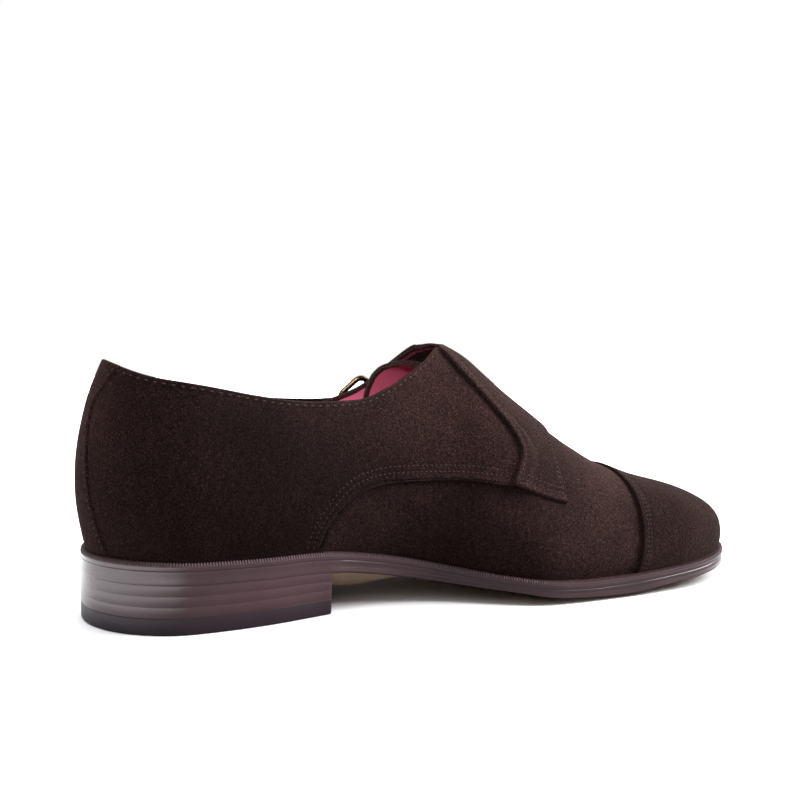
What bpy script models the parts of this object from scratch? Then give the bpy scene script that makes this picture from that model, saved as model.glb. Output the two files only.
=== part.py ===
"""A double monk strap shoe for the left foot, built as it is made: a heel of lifts, an outsole, a welt and a
heel rand, an insole, a hollow upper drawn over the last, and the leather pieces laid on it.

Lengths are millimetres. t runs forwards from the back of the heel, y to the outer (lateral) side, z up.
w runs across the upper: -1 at the inner feather edge, 0 on the instep's ridge, +1 at the outer feather edge.
"""

import bpy
import numpy as np

MM = 0.001
LENGTH = 300.0
MIDDLE = (148.46, 3.14)  # the middle of the whole shoe, along t and y: the origin stands under it
INNER, OUTER = -1.0, 1.0

# The edge of the sole: half widths to each side of its own middle line, the height of the welt's top,
# and how far the middle line swings to the inner side.
SOLE = (
    # t, inner, outer, top, swing
    (0, 32.0, 33.0, 25.9, 0.0),
    (18, 33.4, 34.0, 25.9, 0.0),
    (40, 35.3, 35.0, 25.6, 0.0),
    (64, 33.9, 34.6, 25.2, 0.0),
    (88, 29.4, 34.2, 24.4, 0.0),
    (104, 26.4, 35.2, 22.1, 0.0),
    (122, 25.6, 38.4, 18.8, 0.0),
    (140, 29.6, 43.6, 15.2, -0.2),
    (158, 38.0, 50.0, 12.1, -0.8),
    (176, 44.6, 55.0, 9.9, -1.8),
    (194, 44.8, 57.4, 8.7, -3.1),
    (214, 42.8, 57.0, 8.6, -4.7),
    (234, 40.6, 54.0, 9.4, -6.2),
    (252, 37.8, 48.6, 10.4, -7.4),
    (268, 35.2, 42.0, 11.5, -8.3),
    (284, 33.4, 36.2, 12.9, -8.9),
    (300, 31.0, 32.0, 14.5, -9.2),
)
HEEL_ROUND, TOE_ROUND = 36.0, 46.0  # how far from each end the outline starts to close
HEEL_POWER, TOE_POWER = 2.0, 2.15
FLAT_FROM, FLAT_TO = 190.0, 216.0  # where the forefoot lies flat on the ground
WELT_THICK = 3.0
OUTSOLE_THICK = 4.9
BREAST = 90.0  # the front of the heel
TOP_PIECE = 6.0
LIFT_INSET = (0.45, 0.4, 0.35)  # how far each lift is set in from the sole's edge, lowest first
TOP_PIECE_INSET = 0.5
RING_WIDTH = 3.6  # how far the welt and the rand reach in under the upper
INSOLE_INSET = 4.5
INSOLE_RISE, INSOLE_SINK = 2.2, 2.9  # above and below the welt's top
FLAT_GAP = 0.2  # between pieces that lie flat on one another
UPPER_SEAT = 0.3  # between the upper's feather edge and the welt it is sewn to

# How much of the welt shows outside the upper.
LEDGE = ((0, 1.8), (30, 1.9), (80, 2.0), (120, 2.2), (180, 4.2), (250, 4.2), (300, 3.2))
FEATHER_HEEL, FEATHER_TOE = 3.6, 3.0

# The last, by stations along its spine: the height of the ridge, how far each wall bulges past the feather
# edge and up to what height, and the exponents of the arch (n sideways on each side, m upwards).
LAST = (
    # t, ridge, bulge inner, bulge outer, bulge height, n inner, n outer, m, spine y
    (34, 118.0, 5.0, 5.0, 36, 2.00, 2.00, 2.60, 0.0),
    (42, 116.0, 5.0, 5.0, 36, 2.00, 2.00, 2.60, 0.0),
    (70, 111.0, 4.0, 3.6, 28, 2.00, 2.00, 2.70, 0.0),
    (100, 108.0, 5.6, 3.2, 30, 1.90, 1.90, 2.50, -1.0),
    (125, 107.0, 7.0, 3.0, 30, 1.75, 1.75, 2.20, -2.5),
    (150, 104.0, 4.8, 2.6, 26, 1.65, 1.65, 1.90, -4.0),
    (175, 85.8, 2.6, 2.6, 18, 1.75, 1.75, 1.80, -5.0),
    (200, 68.4, 2.0, 2.6, 14, 1.90, 1.90, 1.85, -6.0),
    (225, 54.2, 1.8, 2.2, 12, 2.10, 2.10, 2.20, -7.0),
    (240, 48.6, 1.4, 1.8, 12, 2.40, 2.40, 2.80, -7.5),
    (256, 44.4, 1.0, 1.0, 12, 2.70, 2.70, 3.80, -8.0),
    (264, 42.8, 1.0, 1.0, 12, 2.70, 2.70, 3.80, -8.0),
)
HEEL_POLE, TOE_POLE, POLE_BLEND = 42.0, 256.0, 10.0

# The top line, as the share of each side's girth from the feather edge up to the ridge.
THROAT = 144.5  # where the top line crosses the ridge
COLLAR = (
    # t, inner, outer
    (3.6, 0.625, 0.625),
    (8, 0.617, 0.615),
    (20, 0.599, 0.593),
    (32, 0.592, 0.583),
    (44, 0.587, 0.574),
    (57, 0.580, 0.563),
    (71, 0.581, 0.555),
    (85, 0.598, 0.557),
    (95, 0.622, 0.566),
    (104, 0.652, 0.586),
    (110, 0.688, 0.618),
    (117, 0.735, 0.662),
    (125, 0.800, 0.738),
    (134, 0.880, 0.862),
    (140, 0.948, 0.965),
    (144.5, 1.0, 1.0),
)

WALL = 1.7  # the upper's own wall, lining and all
GAP = 0.35  # between one curved piece and the next
LEATHER = 1.1  # a piece laid on
# The back strip, by share: its half width along the sole.
BACK_STRIP = (
    (0.0, 9.6), (0.06, 9.2), (0.14, 7.6), (0.24, 5.8), (0.36, 5.0), (0.48, 4.8), (0.56, 6.0), (0.64, 8.4),
)

# The quarters' lower edge, from the feather edge at the waist up to the front.
QUARTER_FOOT = (
    # t, share
    (83.6, 0.0),
    (85.6, 0.083),
    (89.5, 0.125),
    (96.4, 0.192),
    (103.4, 0.242),
    (110.3, 0.283),
    (125, 0.333),
    (141, 0.367),
    (155.7, 0.384),
    (166.5, 0.402),
)
# The quarters' front edges, from the foot up to the top line: station and share.
QUARTER_FRONT = {
    INNER: ((166.5, 0.402), (168.5, 0.48), (170.8, 0.56), (171.2, 0.62), (169.3, 0.68), (163.6, 0.733),
            (154.4, 0.795), (146.0, 0.872), (141.3, 0.952)),
    OUTER: ((166.5, 0.402), (160.0, 0.47), (153.5, 0.54), (147.0, 0.60), (141.5, 0.65), (136.5, 0.69),
            (132.0, 0.725), (128.5, 0.752), (125.5, 0.735)),
}

# The toe cap's seam, by w: its station.
CAP_SEAM = ((-1.0, 225.4), (-0.8, 227.9), (-0.5, 230.4), (0, 230.0), (0.5, 230.4), (0.8, 228.9), (1.0, 226.4))
CAP_FOOT = 0.985

# The tongue's top edge, by w: its station.
TONGUE_EDGE = (
    (-0.26, 148.0), (-0.12, 144.5), (0.0, 139.5), (0.05, 136.0), (0.1, 132.5), (0.16, 128.5), (0.2, 124.5),
    (0.24, 122.3), (0.3, 121.0), (0.42, 120.6),
)
TONGUE_END, TONGUE_THICK, TONGUE_GAP, TONGUE_SAG = 174.0, 1.2, 1.1, 7.5


def hermite(table, column):
    """A smooth curve through one column of a table, by the parabola through each three points."""
    xs = np.array([row[0] for row in table], float)
    ys = np.array([row[column] for row in table], float)
    gap = np.diff(xs)
    slope = np.diff(ys) / gap
    tangent = np.zeros_like(ys)
    tangent[1:-1] = (slope[:-1] * gap[1:] + slope[1:] * gap[:-1]) / (gap[1:] + gap[:-1])
    tangent[0] = slope[0]
    tangent[-1] = slope[-1]

    def curve(x):
        x = np.clip(np.asarray(x, float), xs[0], xs[-1])
        i = np.clip(np.searchsorted(xs, x, side="right") - 1, 0, len(xs) - 2)
        u = (x - xs[i]) / gap[i]
        start = ys[i] * (1 + 2 * u) * (1 - u) ** 2 + tangent[i] * gap[i] * u * (1 - u) ** 2
        end = ys[i + 1] * u * u * (3 - 2 * u) + tangent[i + 1] * gap[i] * u * u * (u - 1)
        return start + end

    return curve


def smooth(u):
    u = np.clip(u, 0.0, 1.0)
    return u * u * (3 - 2 * u)


BODY = {INNER: hermite(SOLE, 1), OUTER: hermite(SOLE, 2)}
TOP = hermite(SOLE, 3)
SWING = hermite(SOLE, 4)
LEDGE_AT = hermite(LEDGE, 1)
RIDGE = hermite(LAST, 1)
BULGE = {INNER: hermite(LAST, 2), OUTER: hermite(LAST, 3)}
BULGE_HEIGHT = hermite(LAST, 4)
ACROSS = {INNER: hermite(LAST, 5), OUTER: hermite(LAST, 6)}
UPWARD = hermite(LAST, 7)
SPINE_Y = hermite(LAST, 8)
COLLAR_AT = {INNER: hermite(COLLAR, 1), OUTER: hermite(COLLAR, 2)}


def end_round(share, power):
    share = np.clip(share, 0.0, 1.0)
    return (1 - (1 - share) ** power) ** (1 / power)


def half_width(side, t, inset=0.0, at_heel=0.0, at_toe=0.0):
    """Half the sole's width on one side, or of a line set in from its edge."""
    heel = end_round((t - at_heel) / HEEL_ROUND, HEEL_POWER)
    toe = end_round((LENGTH - at_toe - t) / TOE_ROUND, TOE_POWER)
    return (BODY[side](t) - inset) * heel * toe


def edge_y(side, t, inset=0.0, at_heel=0.0, at_toe=0.0):
    return SWING(t) + side * half_width(side, t, inset, at_heel, at_toe)


def feather_y(side, t):
    return edge_y(side, t, LEDGE_AT(t), FEATHER_HEEL, FEATHER_TOE)


def stations(start, end, count, at_heel, at_toe):
    """Stations along the sole, close together near its round ends."""
    low, high = at_heel, LENGTH - at_toe

    def share(t):
        return np.arccos(1 - 2 * (t - low) / (high - low)) / np.pi

    q = np.linspace(share(start), share(end), count + 1)
    return low + (high - low) * (0.5 - 0.5 * np.cos(np.pi * q))


# ---------------------------------------------------------------- the last
ARC = np.pi / 2 * smooth(np.linspace(0, 1, 61))


def spine_t(t):
    """The station on the spine that a station of the feather edge is joined to."""
    def soft(x):
        return POLE_BLEND * np.log1p(np.exp(-np.abs(x) / POLE_BLEND)) + np.maximum(x, 0)

    low = HEEL_POLE + soft(t - HEEL_POLE)
    return TOE_POLE - soft(TOE_POLE - low)


def last_arch(side, t, angle):
    """A point of the last: angle is 0 at the feather edge and a right angle on the ridge."""
    t, angle = np.broadcast_arrays(t, angle)
    ts = spine_t(t)
    foot_y = feather_y(side, t)
    foot_z = TOP(t)
    spine_y = SPINE_Y(ts)
    dx, dy = t - ts, foot_y - spine_y
    reach = np.hypot(dx, dy)
    rho = np.clip(np.cos(angle), 0, 1) ** (2 / ACROSS[side](ts))
    rise = np.clip(np.sin(angle), 0, 1) ** (2 / UPWARD(ts))
    bulge = BULGE[side](ts)
    low = np.clip(1 - rise * (RIDGE(ts) - foot_z) / BULGE_HEIGHT(ts), 0, 1)
    out = (reach + bulge) * rho - bulge * low**2
    x = ts + dx / reach * out
    y = spine_y + dy / reach * out
    tilt = (RIDGE(ts + 2) - RIDGE(ts - 2)) / 4
    top = RIDGE(ts) + tilt * (x - ts)
    return np.stack([x, y, foot_z + (top - foot_z) * rise], -1)


def share_of(t):
    """The feather edge's stations, spread so that the round ends open out evenly."""
    low, high = FEATHER_HEEL, LENGTH - FEATHER_TOE
    return np.arccos(1 - 2 * (np.clip(t, low, high) - low) / (high - low)) / np.pi


def last_point(q, w):
    """A point of the last by spread station and w; past either end it carries on round the other side."""
    q, w = np.broadcast_arrays(np.asarray(q, float), np.asarray(w, float))
    w = np.where((q < 0) | (q > 1), -w, w)
    q = np.where(q < 0, -q, np.where(q > 1, 2 - q, q))
    low, high = FEATHER_HEEL, LENGTH - FEATHER_TOE
    t = low + (high - low) * (0.5 - 0.5 * np.cos(np.pi * q))
    out = np.empty(q.shape + (3,))
    for side in (INNER, OUTER):
        here = (w < 0) if side == INNER else (w >= 0)
        if not here.any():
            continue
        arch = last_arch(side, t[here][:, None], ARC[None, :])
        run = np.linalg.norm(np.diff(arch, axis=1), axis=2)
        run = np.concatenate([np.zeros((len(run), 1)), np.cumsum(run, axis=1)], 1)
        run /= run[:, -1:]
        share = 1 - np.abs(w[here])
        angle = np.array([np.interp(s, r, ARC) for s, r in zip(share, run)])
        out[here] = last_arch(side, t[here], angle)
    return out


def skin(t, w, offset=0.0):
    """A point of the upper's outside, moved out along the normal by an offset."""
    t, w, offset = np.broadcast_arrays(np.asarray(t, float), np.asarray(w, float), np.asarray(offset, float))
    q = share_of(t)
    step = 0.004
    near = np.where(np.abs(w) < 0.02, np.clip(q, 0.012, 0.988), q)  # the poles have no direction of their own
    along = last_point(near + step, w) - last_point(near - step, w)
    across = last_point(near, np.clip(w + step, -1, 1)) - last_point(near, np.clip(w - step, -1, 1))
    normal = np.cross(along, across)
    normal /= np.linalg.norm(normal, axis=-1, keepdims=True)
    return last_point(q, w) + offset[..., None] * normal


# ---------------------------------------------------------------- solids
MATERIALS = {
    # material: (red, green, blue), roughness, metallic
    "brown suede": ((0.022, 0.012, 0.010), 0.95, 0.0),
    "light brown suede": ((0.060, 0.038, 0.033), 0.95, 0.0),
    "lining leather": ((0.200, 0.055, 0.070), 0.55, 0.0),
    "stained edge": ((0.050, 0.030, 0.033), 0.35, 0.0),
    "stacked leather": ((0.085, 0.052, 0.056), 0.35, 0.0),
    "rubber": ((0.040, 0.030, 0.034), 0.60, 0.0),
    "antique brass": ((0.220, 0.150, 0.070), 0.35, 1.0),
}
MADE_OF = {
    "outsole": "stained edge",
    "welt": "stained edge",
    "heel_rand": "stained edge",
    "insole": "lining leather",
    "top_piece": "rubber",
    "tongue": "light brown suede",
    "strap_panel": "light brown suede",
    "upper": "brown suede",
    "toe_cap": "brown suede",
    "back_strip": "brown suede",
    "quarter_medial": "brown suede",
    "quarter_lateral": "brown suede",
    "tab_upper": "brown suede",
    "tab_lower": "brown suede",
    "buckle_upper": "antique brass",
    "buckle_lower": "antique brass",
}


def material(name):
    found = bpy.data.materials.get(name)
    if found:
        return found
    colour, roughness, metallic = MATERIALS[name]
    found = bpy.data.materials.new(name)
    found.use_nodes = True
    shader = found.node_tree.nodes["Principled BSDF"]
    shader.inputs["Base Color"].default_value = (*colour, 1.0)
    shader.inputs["Roughness"].default_value = roughness
    shader.inputs["Metallic"].default_value = metallic
    return found


def add_object(name, points, faces):
    points = np.asarray(points)
    volume = 0.0
    for face in faces:
        for b, c in zip(face[1:], face[2:]):
            volume += np.dot(points[face[0]], np.cross(points[b], points[c]))
    if volume < 0:
        faces = [face[::-1] for face in faces]
    mesh = bpy.data.meshes.new(name)
    shifted = (points - [*MIDDLE, 0]) * MM
    mesh.from_pydata(shifted.tolist(), [], [list(f) for f in faces])
    mesh.validate()
    mesh.shade_smooth()
    mesh.set_sharp_from_angle(angle=np.radians(40))
    mesh.materials.append(material(MADE_OF.get(name, "stacked leather")))
    made = bpy.data.objects.new(name, mesh)
    bpy.context.scene.collection.objects.link(made)
    return made


def thicken(name, above, below, keep=None):
    """One closed solid between two sheets of the same grid. Equal points of the upper sheet become one."""
    rows, columns = above.shape[:2]
    _, first, index = np.unique(
        np.round(above.reshape(-1, 3), 2), axis=0, return_index=True, return_inverse=True
    )
    index = index.reshape(rows, columns)
    top = above.reshape(-1, 3)[first]
    bottom = below.reshape(-1, 3)[first]
    count = len(top)
    faces = []
    sides = {}
    for i in range(rows - 1):
        for j in range(columns - 1):
            if keep is not None and not keep[i, j]:
                continue
            ring = [index[i, j], index[i + 1, j], index[i + 1, j + 1], index[i, j + 1]]
            ring = [p for k, p in enumerate(ring) if p != ring[k - 1]]
            if len(set(ring)) < 3:
                continue
            faces.append(ring)
            faces.append([p + count for p in reversed(ring)])
            for a, b in zip(ring, ring[1:] + ring[:1]):
                sides[(a, b)] = sides.get((a, b), 0) + 1
    for a, b in sides:
        if (b, a) not in sides:
            faces.append([b, a, a + count, b + count])
    return add_object(name, np.concatenate([top, bottom]), faces)


def plate(name, ts, inner, outer, top, bottom):
    """A flat piece of the bottom: its two edges by station, and heights that follow the station only."""
    def sheet(z):
        return np.stack([
            np.stack([ts, inner, z], -1),
            np.stack([ts, (inner + outer) / 2, z], -1),
            np.stack([ts, outer, z], -1),
        ], 1)

    return thicken(name, sheet(top), sheet(bottom))


def sole_bottom(t):
    """The outsole's underside: it lies on the ground under the ball and lifts to the heel and to the toe."""
    free = TOP(t) - WELT_THICK - FLAT_GAP - OUTSOLE_THICK
    flat = smooth((t - (FLAT_FROM - 24)) / 24) * (1 - smooth((t - FLAT_TO) / 22))
    return np.maximum(free * (1 - flat), 0.0)


# ---------------------------------------------------------------- the bottom
def make_bottom():
    ts = stations(0.0, LENGTH, 35, 0, 0)
    ts = np.unique(np.concatenate([ts, [BREAST, FLAT_FROM, FLAT_TO]]))
    top = TOP(ts) - WELT_THICK - FLAT_GAP
    plate("outsole", ts, edge_y(INNER, ts), edge_y(OUTER, ts), top, sole_bottom(ts))

    ring("heel_rand", 0.0, BREAST - 0.2, 13)
    ring("welt", BREAST + 0.2, LENGTH, 32)

    low, high = FEATHER_HEEL + INSOLE_INSET, FEATHER_TOE + INSOLE_INSET
    ts = stations(low, LENGTH - high, 26, low, high)
    inner, outer = (edge_y(side, ts, LEDGE_AT(ts) + INSOLE_INSET, low, high) for side in (INNER, OUTER))
    plate("insole", ts, inner, outer, TOP(ts) + INSOLE_RISE, TOP(ts) - INSOLE_SINK)


def ring(name, start, end, count):
    """A strip round the edge of the sole that the upper stands on, round the heel or round the toe."""
    at_heel, at_toe = FEATHER_HEEL + RING_WIDTH, FEATHER_TOE + RING_WIDTH
    outside = stations(start, end, count, 0, 0)
    if start < 1:
        inside = at_heel + outside * (end - at_heel) / end
    else:
        inside = start + (outside - start) * (LENGTH - at_toe - start) / (LENGTH - start)
    rows = []
    for side in (INNER, OUTER):
        edge = np.stack([outside, edge_y(side, outside), TOP(outside)], -1)
        inner_y = edge_y(side, inside, LEDGE_AT(inside) + RING_WIDTH, at_heel, at_toe)
        inner = np.stack([inside, inner_y, TOP(inside)], -1)
        rows.append(np.stack([edge, inner], 1))
    if start < 1:
        around = np.concatenate([rows[0][::-1], rows[1][1:]])
    else:
        around = np.concatenate([rows[1], rows[0][-2::-1]])
    up = np.array([0, 0, 1.0])
    thicken(name, around[:, ::-1] - up * UPPER_SEAT, around[:, ::-1] - up * WELT_THICK)


def make_heel():
    ts = stations(0.0, BREAST, 13, 0, 0)
    ts = np.append(ts[:-1], BREAST - 2 * FLAT_GAP)
    seat = sole_bottom(ts) - FLAT_GAP
    lifts = len(LIFT_INSET)
    base = np.full_like(ts, TOP_PIECE)
    for k, inset in enumerate(LIFT_INSET):
        under = base + (seat - base) * k / lifts + FLAT_GAP
        over = base + (seat - base) * (k + 1) / lifts
        inner, outer = (edge_y(side, ts, inset) for side in (INNER, OUTER))
        plate("heel_lift_%d" % (lifts - k), ts, inner, outer, over, under)
    inner, outer = (edge_y(side, ts, TOP_PIECE_INSET) for side in (INNER, OUTER))
    plate("top_piece", ts, inner, outer, base, np.zeros_like(ts))


# ---------------------------------------------------------------- the upper
def make_upper():
    back = stations(FEATHER_HEEL, THROAT, 24, FEATHER_HEEL, FEATHER_TOE)
    front = stations(THROAT, LENGTH - FEATHER_TOE, 23, FEATHER_HEEL, FEATHER_TOE)
    ts = np.concatenate([back, front[1:]])
    climb = np.linspace(0, 1, 13)
    inner = -1 + climb[None, :] * COLLAR_AT[INNER](ts)[:, None]
    outer = 1 - climb[None, ::-1] * COLLAR_AT[OUTER](ts)[:, None]
    w = np.concatenate([inner, outer], 1)
    t = np.repeat(ts[:, None], w.shape[1], 1)
    keep = np.ones((len(ts) - 1, w.shape[1] - 1), bool)
    keep[:, len(climb) - 1] = False
    thicken("upper", skin(t, w), skin(t, w, -WALL), keep)


def make_tongue():
    """The tongue lies inside the upper and sags a little under the throat."""
    edge = hermite(TONGUE_EDGE, 1)
    across = np.linspace(TONGUE_EDGE[0][0], TONGUE_EDGE[-1][0], 13)
    along = np.linspace(0, 1, 8)
    w = np.repeat(across[None, :], len(along), 0)
    t = edge(w) + along[:, None] * (TONGUE_END - edge(w))
    fade = 1 - smooth((t - THROAT + 8.5) / 26)
    deep = -WALL - TONGUE_GAP - TONGUE_SAG * fade * (1 - smooth(np.abs(w) / np.where(w > 0, 0.2, 0.3)))
    thicken("tongue", skin(t, w, deep), skin(t, w, deep - TONGUE_THICK))


def spread(start, end, share):
    """Stations between two others, evenly round the upper."""
    q = share_of(start) + (share_of(end) - share_of(start)) * share
    return FEATHER_HEEL + (LENGTH - FEATHER_TOE - FEATHER_HEEL) * (0.5 - 0.5 * np.cos(np.pi * q))


def laid_on(name, t, w, lift=GAP, thick=LEATHER, keep=None):
    return thicken(name, skin(t, w, lift + thick), skin(t, w, lift), keep)


def make_toe_cap():
    start = hermite(CAP_SEAM, 1)
    across = np.linspace(-CAP_FOOT, CAP_FOOT, 21)
    end = LENGTH - FEATHER_TOE
    low = share_of(start(across))[None, :]
    q = low + np.linspace(0, 1, 11)[:, None] * (1 - low)
    t = FEATHER_HEEL + (end - FEATHER_HEEL) * (0.5 - 0.5 * np.cos(np.pi * q))
    laid_on("toe_cap", t, np.repeat(across[None, :], len(q), 0), GAP + 0.25)


def make_back_strip():
    shares = np.linspace(0.012, 1.0, 10)
    top = COLLAR_AT[INNER](3.0) - 0.004
    v = shares * top
    half = hermite(BACK_STRIP, 1)(v)
    across = np.linspace(-1, 1, 9)
    q = share_of(FEATHER_HEEL) + across[None, :] * share_of(half)[:, None]
    side = np.where(across < 0, INNER, OUTER)[None, :]
    t = FEATHER_HEEL + (LENGTH - FEATHER_TOE - FEATHER_HEEL) * (0.5 - 0.5 * np.cos(np.pi * np.abs(q)))
    w = side * (1 - np.repeat(v[:, None], len(across), 1))
    laid_on("back_strip", t[::-1], w[::-1], thick=LEATHER + 0.2)


def make_quarter(name, side):
    strip = hermite(BACK_STRIP, 1)
    foot = np.array(QUARTER_FOOT)
    front = np.array(QUARTER_FRONT[side])
    long, high = 24, 8
    u = np.linspace(0, 1, long + 1)
    s = np.linspace(0, 1, high + 1)
    corner = 12  # the column where the lower edge leaves the feather edge
    along_feather = spread(strip(0.0) + 0.5, foot[0, 0], np.linspace(0, 1, corner + 1))
    steps = np.linspace(0, len(foot) - 1, long - corner + 1)[1:]
    rising_t = np.interp(steps, range(len(foot)), foot[:, 0])
    rising_v = np.interp(steps, range(len(foot)), foot[:, 1])
    low = np.stack([np.concatenate([along_feather, rising_t]),
                    np.concatenate([np.full(corner + 1, 0.012), np.maximum(rising_v, 0.012)])], -1)
    crest_t = spread(strip(0.62) + 0.5, front[-1, 0], u)
    crest = np.stack([crest_t, COLLAR_AT[side](crest_t) - 0.005], -1)
    rows = np.interp(s, np.linspace(0, 1, len(front)), front[:, 0])
    front_line = np.stack([rows, np.interp(s, np.linspace(0, 1, len(front)), front[:, 1])], -1)
    front_line[0], front_line[-1] = low[-1], crest[-1]
    rear_v = low[0, 1] + s * (crest[0, 1] - low[0, 1])
    rear = np.stack([strip(rear_v) + 0.5, rear_v], -1)
    rear[-1] = crest[0]
    a, b = u[:, None, None], s[None, :, None]
    patch = (1 - b) * low[:, None] + b * crest[:, None] + (1 - a) * rear[None] + a * front_line[None]
    patch -= (1 - a) * ((1 - b) * low[0] + b * crest[0]) + a * ((1 - b) * low[-1] + b * crest[-1])
    t, w = patch[..., 0], side * (1 - patch[..., 1])
    if side == OUTER:
        t, w = t[:, ::-1], w[:, ::-1]
    laid_on(name, t, w, GAP + 0.12)


GIRTH = 100.0  # millimetres of surface for one unit of w on the instep


def strap_line(points, half, side):
    """One edge of a strap, set off to a side of its middle line in the upper's own surface."""
    line = np.array(points, float) * [1, GIRTH]
    run = np.gradient(line, axis=0)
    run /= np.linalg.norm(run, axis=1, keepdims=True)
    square = np.stack([-run[:, 1], run[:, 0]], -1)
    return (line + side * np.array(half)[:, None] * square) / [1, GIRTH]


# The strap panel by rows from its lower medial edge over the instep to where it parts into two straps:
# the rear and front edges of the upper strap, then of the lower strap, as (t, w).
PANEL = (
    ((167.1, -0.588), (172.5, -0.594), (180.0, -0.606), (189.6, -0.612)),
    ((169.0, -0.52), (174.5, -0.53), (181.0, -0.53), (190.0, -0.53)),
    ((171.4, -0.44), (176.5, -0.44), (182.0, -0.44), (190.2, -0.44)),
    ((171.6, -0.38), (177.0, -0.37), (183.0, -0.36), (190.6, -0.36)),
    ((169.8, -0.32), (176.0, -0.30), (183.0, -0.29), (191.0, -0.28)),
    ((164.2, -0.267), (173.0, -0.24), (182.0, -0.22), (191.4, -0.21)),
    ((155.0, -0.205), (168.0, -0.18), (180.0, -0.155), (191.8, -0.14)),
    ((146.8, -0.128), (164.0, -0.12), (178.0, -0.10), (192.2, -0.09)),
    ((142.2, -0.048), (161.5, -0.06), (176.5, -0.05), (192.4, -0.045)),
    ((145.0, 0.0), (160.0, 0.0), (175.0, 0.0), (192.5, 0.0)),
    ((141.4, 0.022), (158.6, 0.045), (173.8, 0.04), (191.8, 0.045)),
    ((138.2, 0.062), (156.6, 0.09), (172.4, 0.08), (190.6, 0.09)),
)
UPPER_STRAP = ((144.4, 0.115), (141.6, 0.165), (139.0, 0.213), (136.2, 0.260), (133.2, 0.305), (130.1, 0.348),
               (126.7, 0.390), (123.1, 0.430), (119.4, 0.469), (115.3, 0.506), (111.6, 0.538), (109.3, 0.558))
LOWER_STRAP = ((177.6, 0.145), (174.8, 0.193), (171.6, 0.240), (168.2, 0.286), (164.4, 0.331), (160.3, 0.374),
               (156.0, 0.416), (151.6, 0.457), (147.1, 0.497), (142.6, 0.536), (138.8, 0.569), (136.5, 0.589))
STRAP_HALF = (9.4, 8.9, 8.5, 8.2, 8.0, 8.0, 8.0, 8.0, 8.0, 7.6, 6.2, 3.6)
# How far each row of a strap's underside stands off the upper: over the quarter's edge, under the buckle's
# front bar, over its rear bar and its tab, and down on the quarter again.
UPPER_LIFT = (0.50, 0.80, 1.40, 2.00, 2.00, 2.00, 2.10, 3.20, 4.60, 4.60, 3.80, 3.00)
LOWER_LIFT = (0.50, 0.50, 0.80, 1.20, 1.60, 2.00, 2.10, 3.20, 4.60, 4.80, 4.00, 3.20)
BUCKLE_AT = 7.0  # the buckle's middle, in rows of its strap
FRAME_HALF_LONG, FRAME_HALF_WIDE, FRAME_BAR = 7.5, 11.2, 1.1
FRONT_BAR_LIFT, REAR_BAR_LIFT = 5.00, 3.00
FRAME_CORNER = 2.4
# The prong from where it rests on the front bar to its root: forward of the buckle's middle, and lift.
PRONG_BAR = 0.7
PRONG = ((-9.2, 5.90), (-7.5, 6.30), (-4.5, 5.90), (-1.2, 5.35))
TAB_HALF_WIDE, TAB_LONG, TAB_LIFT = 6.0, 11.0, 1.85


def make_straps():
    rows = [list(row) for row in PANEL]
    edges = [strap_line(line, STRAP_HALF, side) for line in (UPPER_STRAP, LOWER_STRAP) for side in (1, -1)]
    for k in range(len(STRAP_HALF)):
        rows.append([tuple(edge[k]) for edge in edges])
    rows = np.array(rows)
    pieces = ((0, 1, 3), (1, 2, 2), (2, 3, 3))
    columns = [rows[:, :1]]
    for a, b, parts in pieces:
        for k in range(1, parts + 1):
            columns.append(rows[:, a:a + 1] * (1 - k / parts) + rows[:, b:b + 1] * (k / parts))
    grid = np.concatenate(columns, 1)
    keep = np.ones((grid.shape[0] - 1, grid.shape[1] - 1), bool)
    keep[len(PANEL) - 1:, 3:5] = False
    lift = np.full(grid.shape[:2], GAP + 0.15)
    lift[len(PANEL):, :4] = np.array(UPPER_LIFT)[:, None]
    lift[len(PANEL):, 4:] = np.array(LOWER_LIFT)[:, None]
    grid, lift, keep = grid[:, ::-1], lift[:, ::-1], keep[:, ::-1]
    laid_on("strap_panel", grid[..., 0], grid[..., 1], lift, LEATHER + 0.1, keep)


def strap_frame(points):
    """The place and the two directions of a strap at its buckle, in millimetres of the upper's surface."""
    line = np.array(points, float) * [1, GIRTH]
    low = int(BUCKLE_AT)
    along = line[low + 1] - line[low]
    along /= np.linalg.norm(along)
    middle = line[low] + (BUCKLE_AT - low) * (line[low + 1] - line[low])
    return middle, along, np.array([-along[1], along[0]])


def on_strap(points, forward, sideways, lift):
    """A point by its distances from the buckle's middle, towards the strap's end and to its side."""
    middle, along, square = strap_frame(points)
    forward, sideways = np.asarray(forward, float), np.asarray(sideways, float)
    place = middle + forward[..., None] * along + sideways[..., None] * square
    return skin(place[..., 0], place[..., 1] / GIRTH, lift)


def tube(name, path, radius, closed, sides=6):
    """A bar of round section along a path of points."""
    path = np.asarray(path)
    count = len(path)
    if closed:
        ahead = np.roll(path, -1, 0) - np.roll(path, 1, 0)
        side = np.cross(ahead, path - path.mean(0))
        side = np.cross(side, ahead)
    else:
        ahead = np.gradient(path, axis=0)
        side = np.cross(ahead, [0.3, 0.2, 1.0])
    ahead /= np.linalg.norm(ahead, axis=1, keepdims=True)
    side /= np.linalg.norm(side, axis=1, keepdims=True)
    third = np.cross(ahead, side)
    turn = 2 * np.pi * np.arange(sides) / sides
    rings = path[:, None] + radius * (np.cos(turn)[None, :, None] * side[:, None]
                                      + np.sin(turn)[None, :, None] * third[:, None])
    faces = []
    for i in range(count if closed else count - 1):
        a, b = i * sides, (i + 1) % count * sides
        for k in range(sides):
            n = (k + 1) % sides
            faces.append([a + k, a + n, b + n, b + k])
    if not closed:
        faces.append(list(range(sides))[::-1])
        faces.append([(count - 1) * sides + k for k in range(sides)])
    return add_object(name, rings.reshape(-1, 3), faces)


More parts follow.
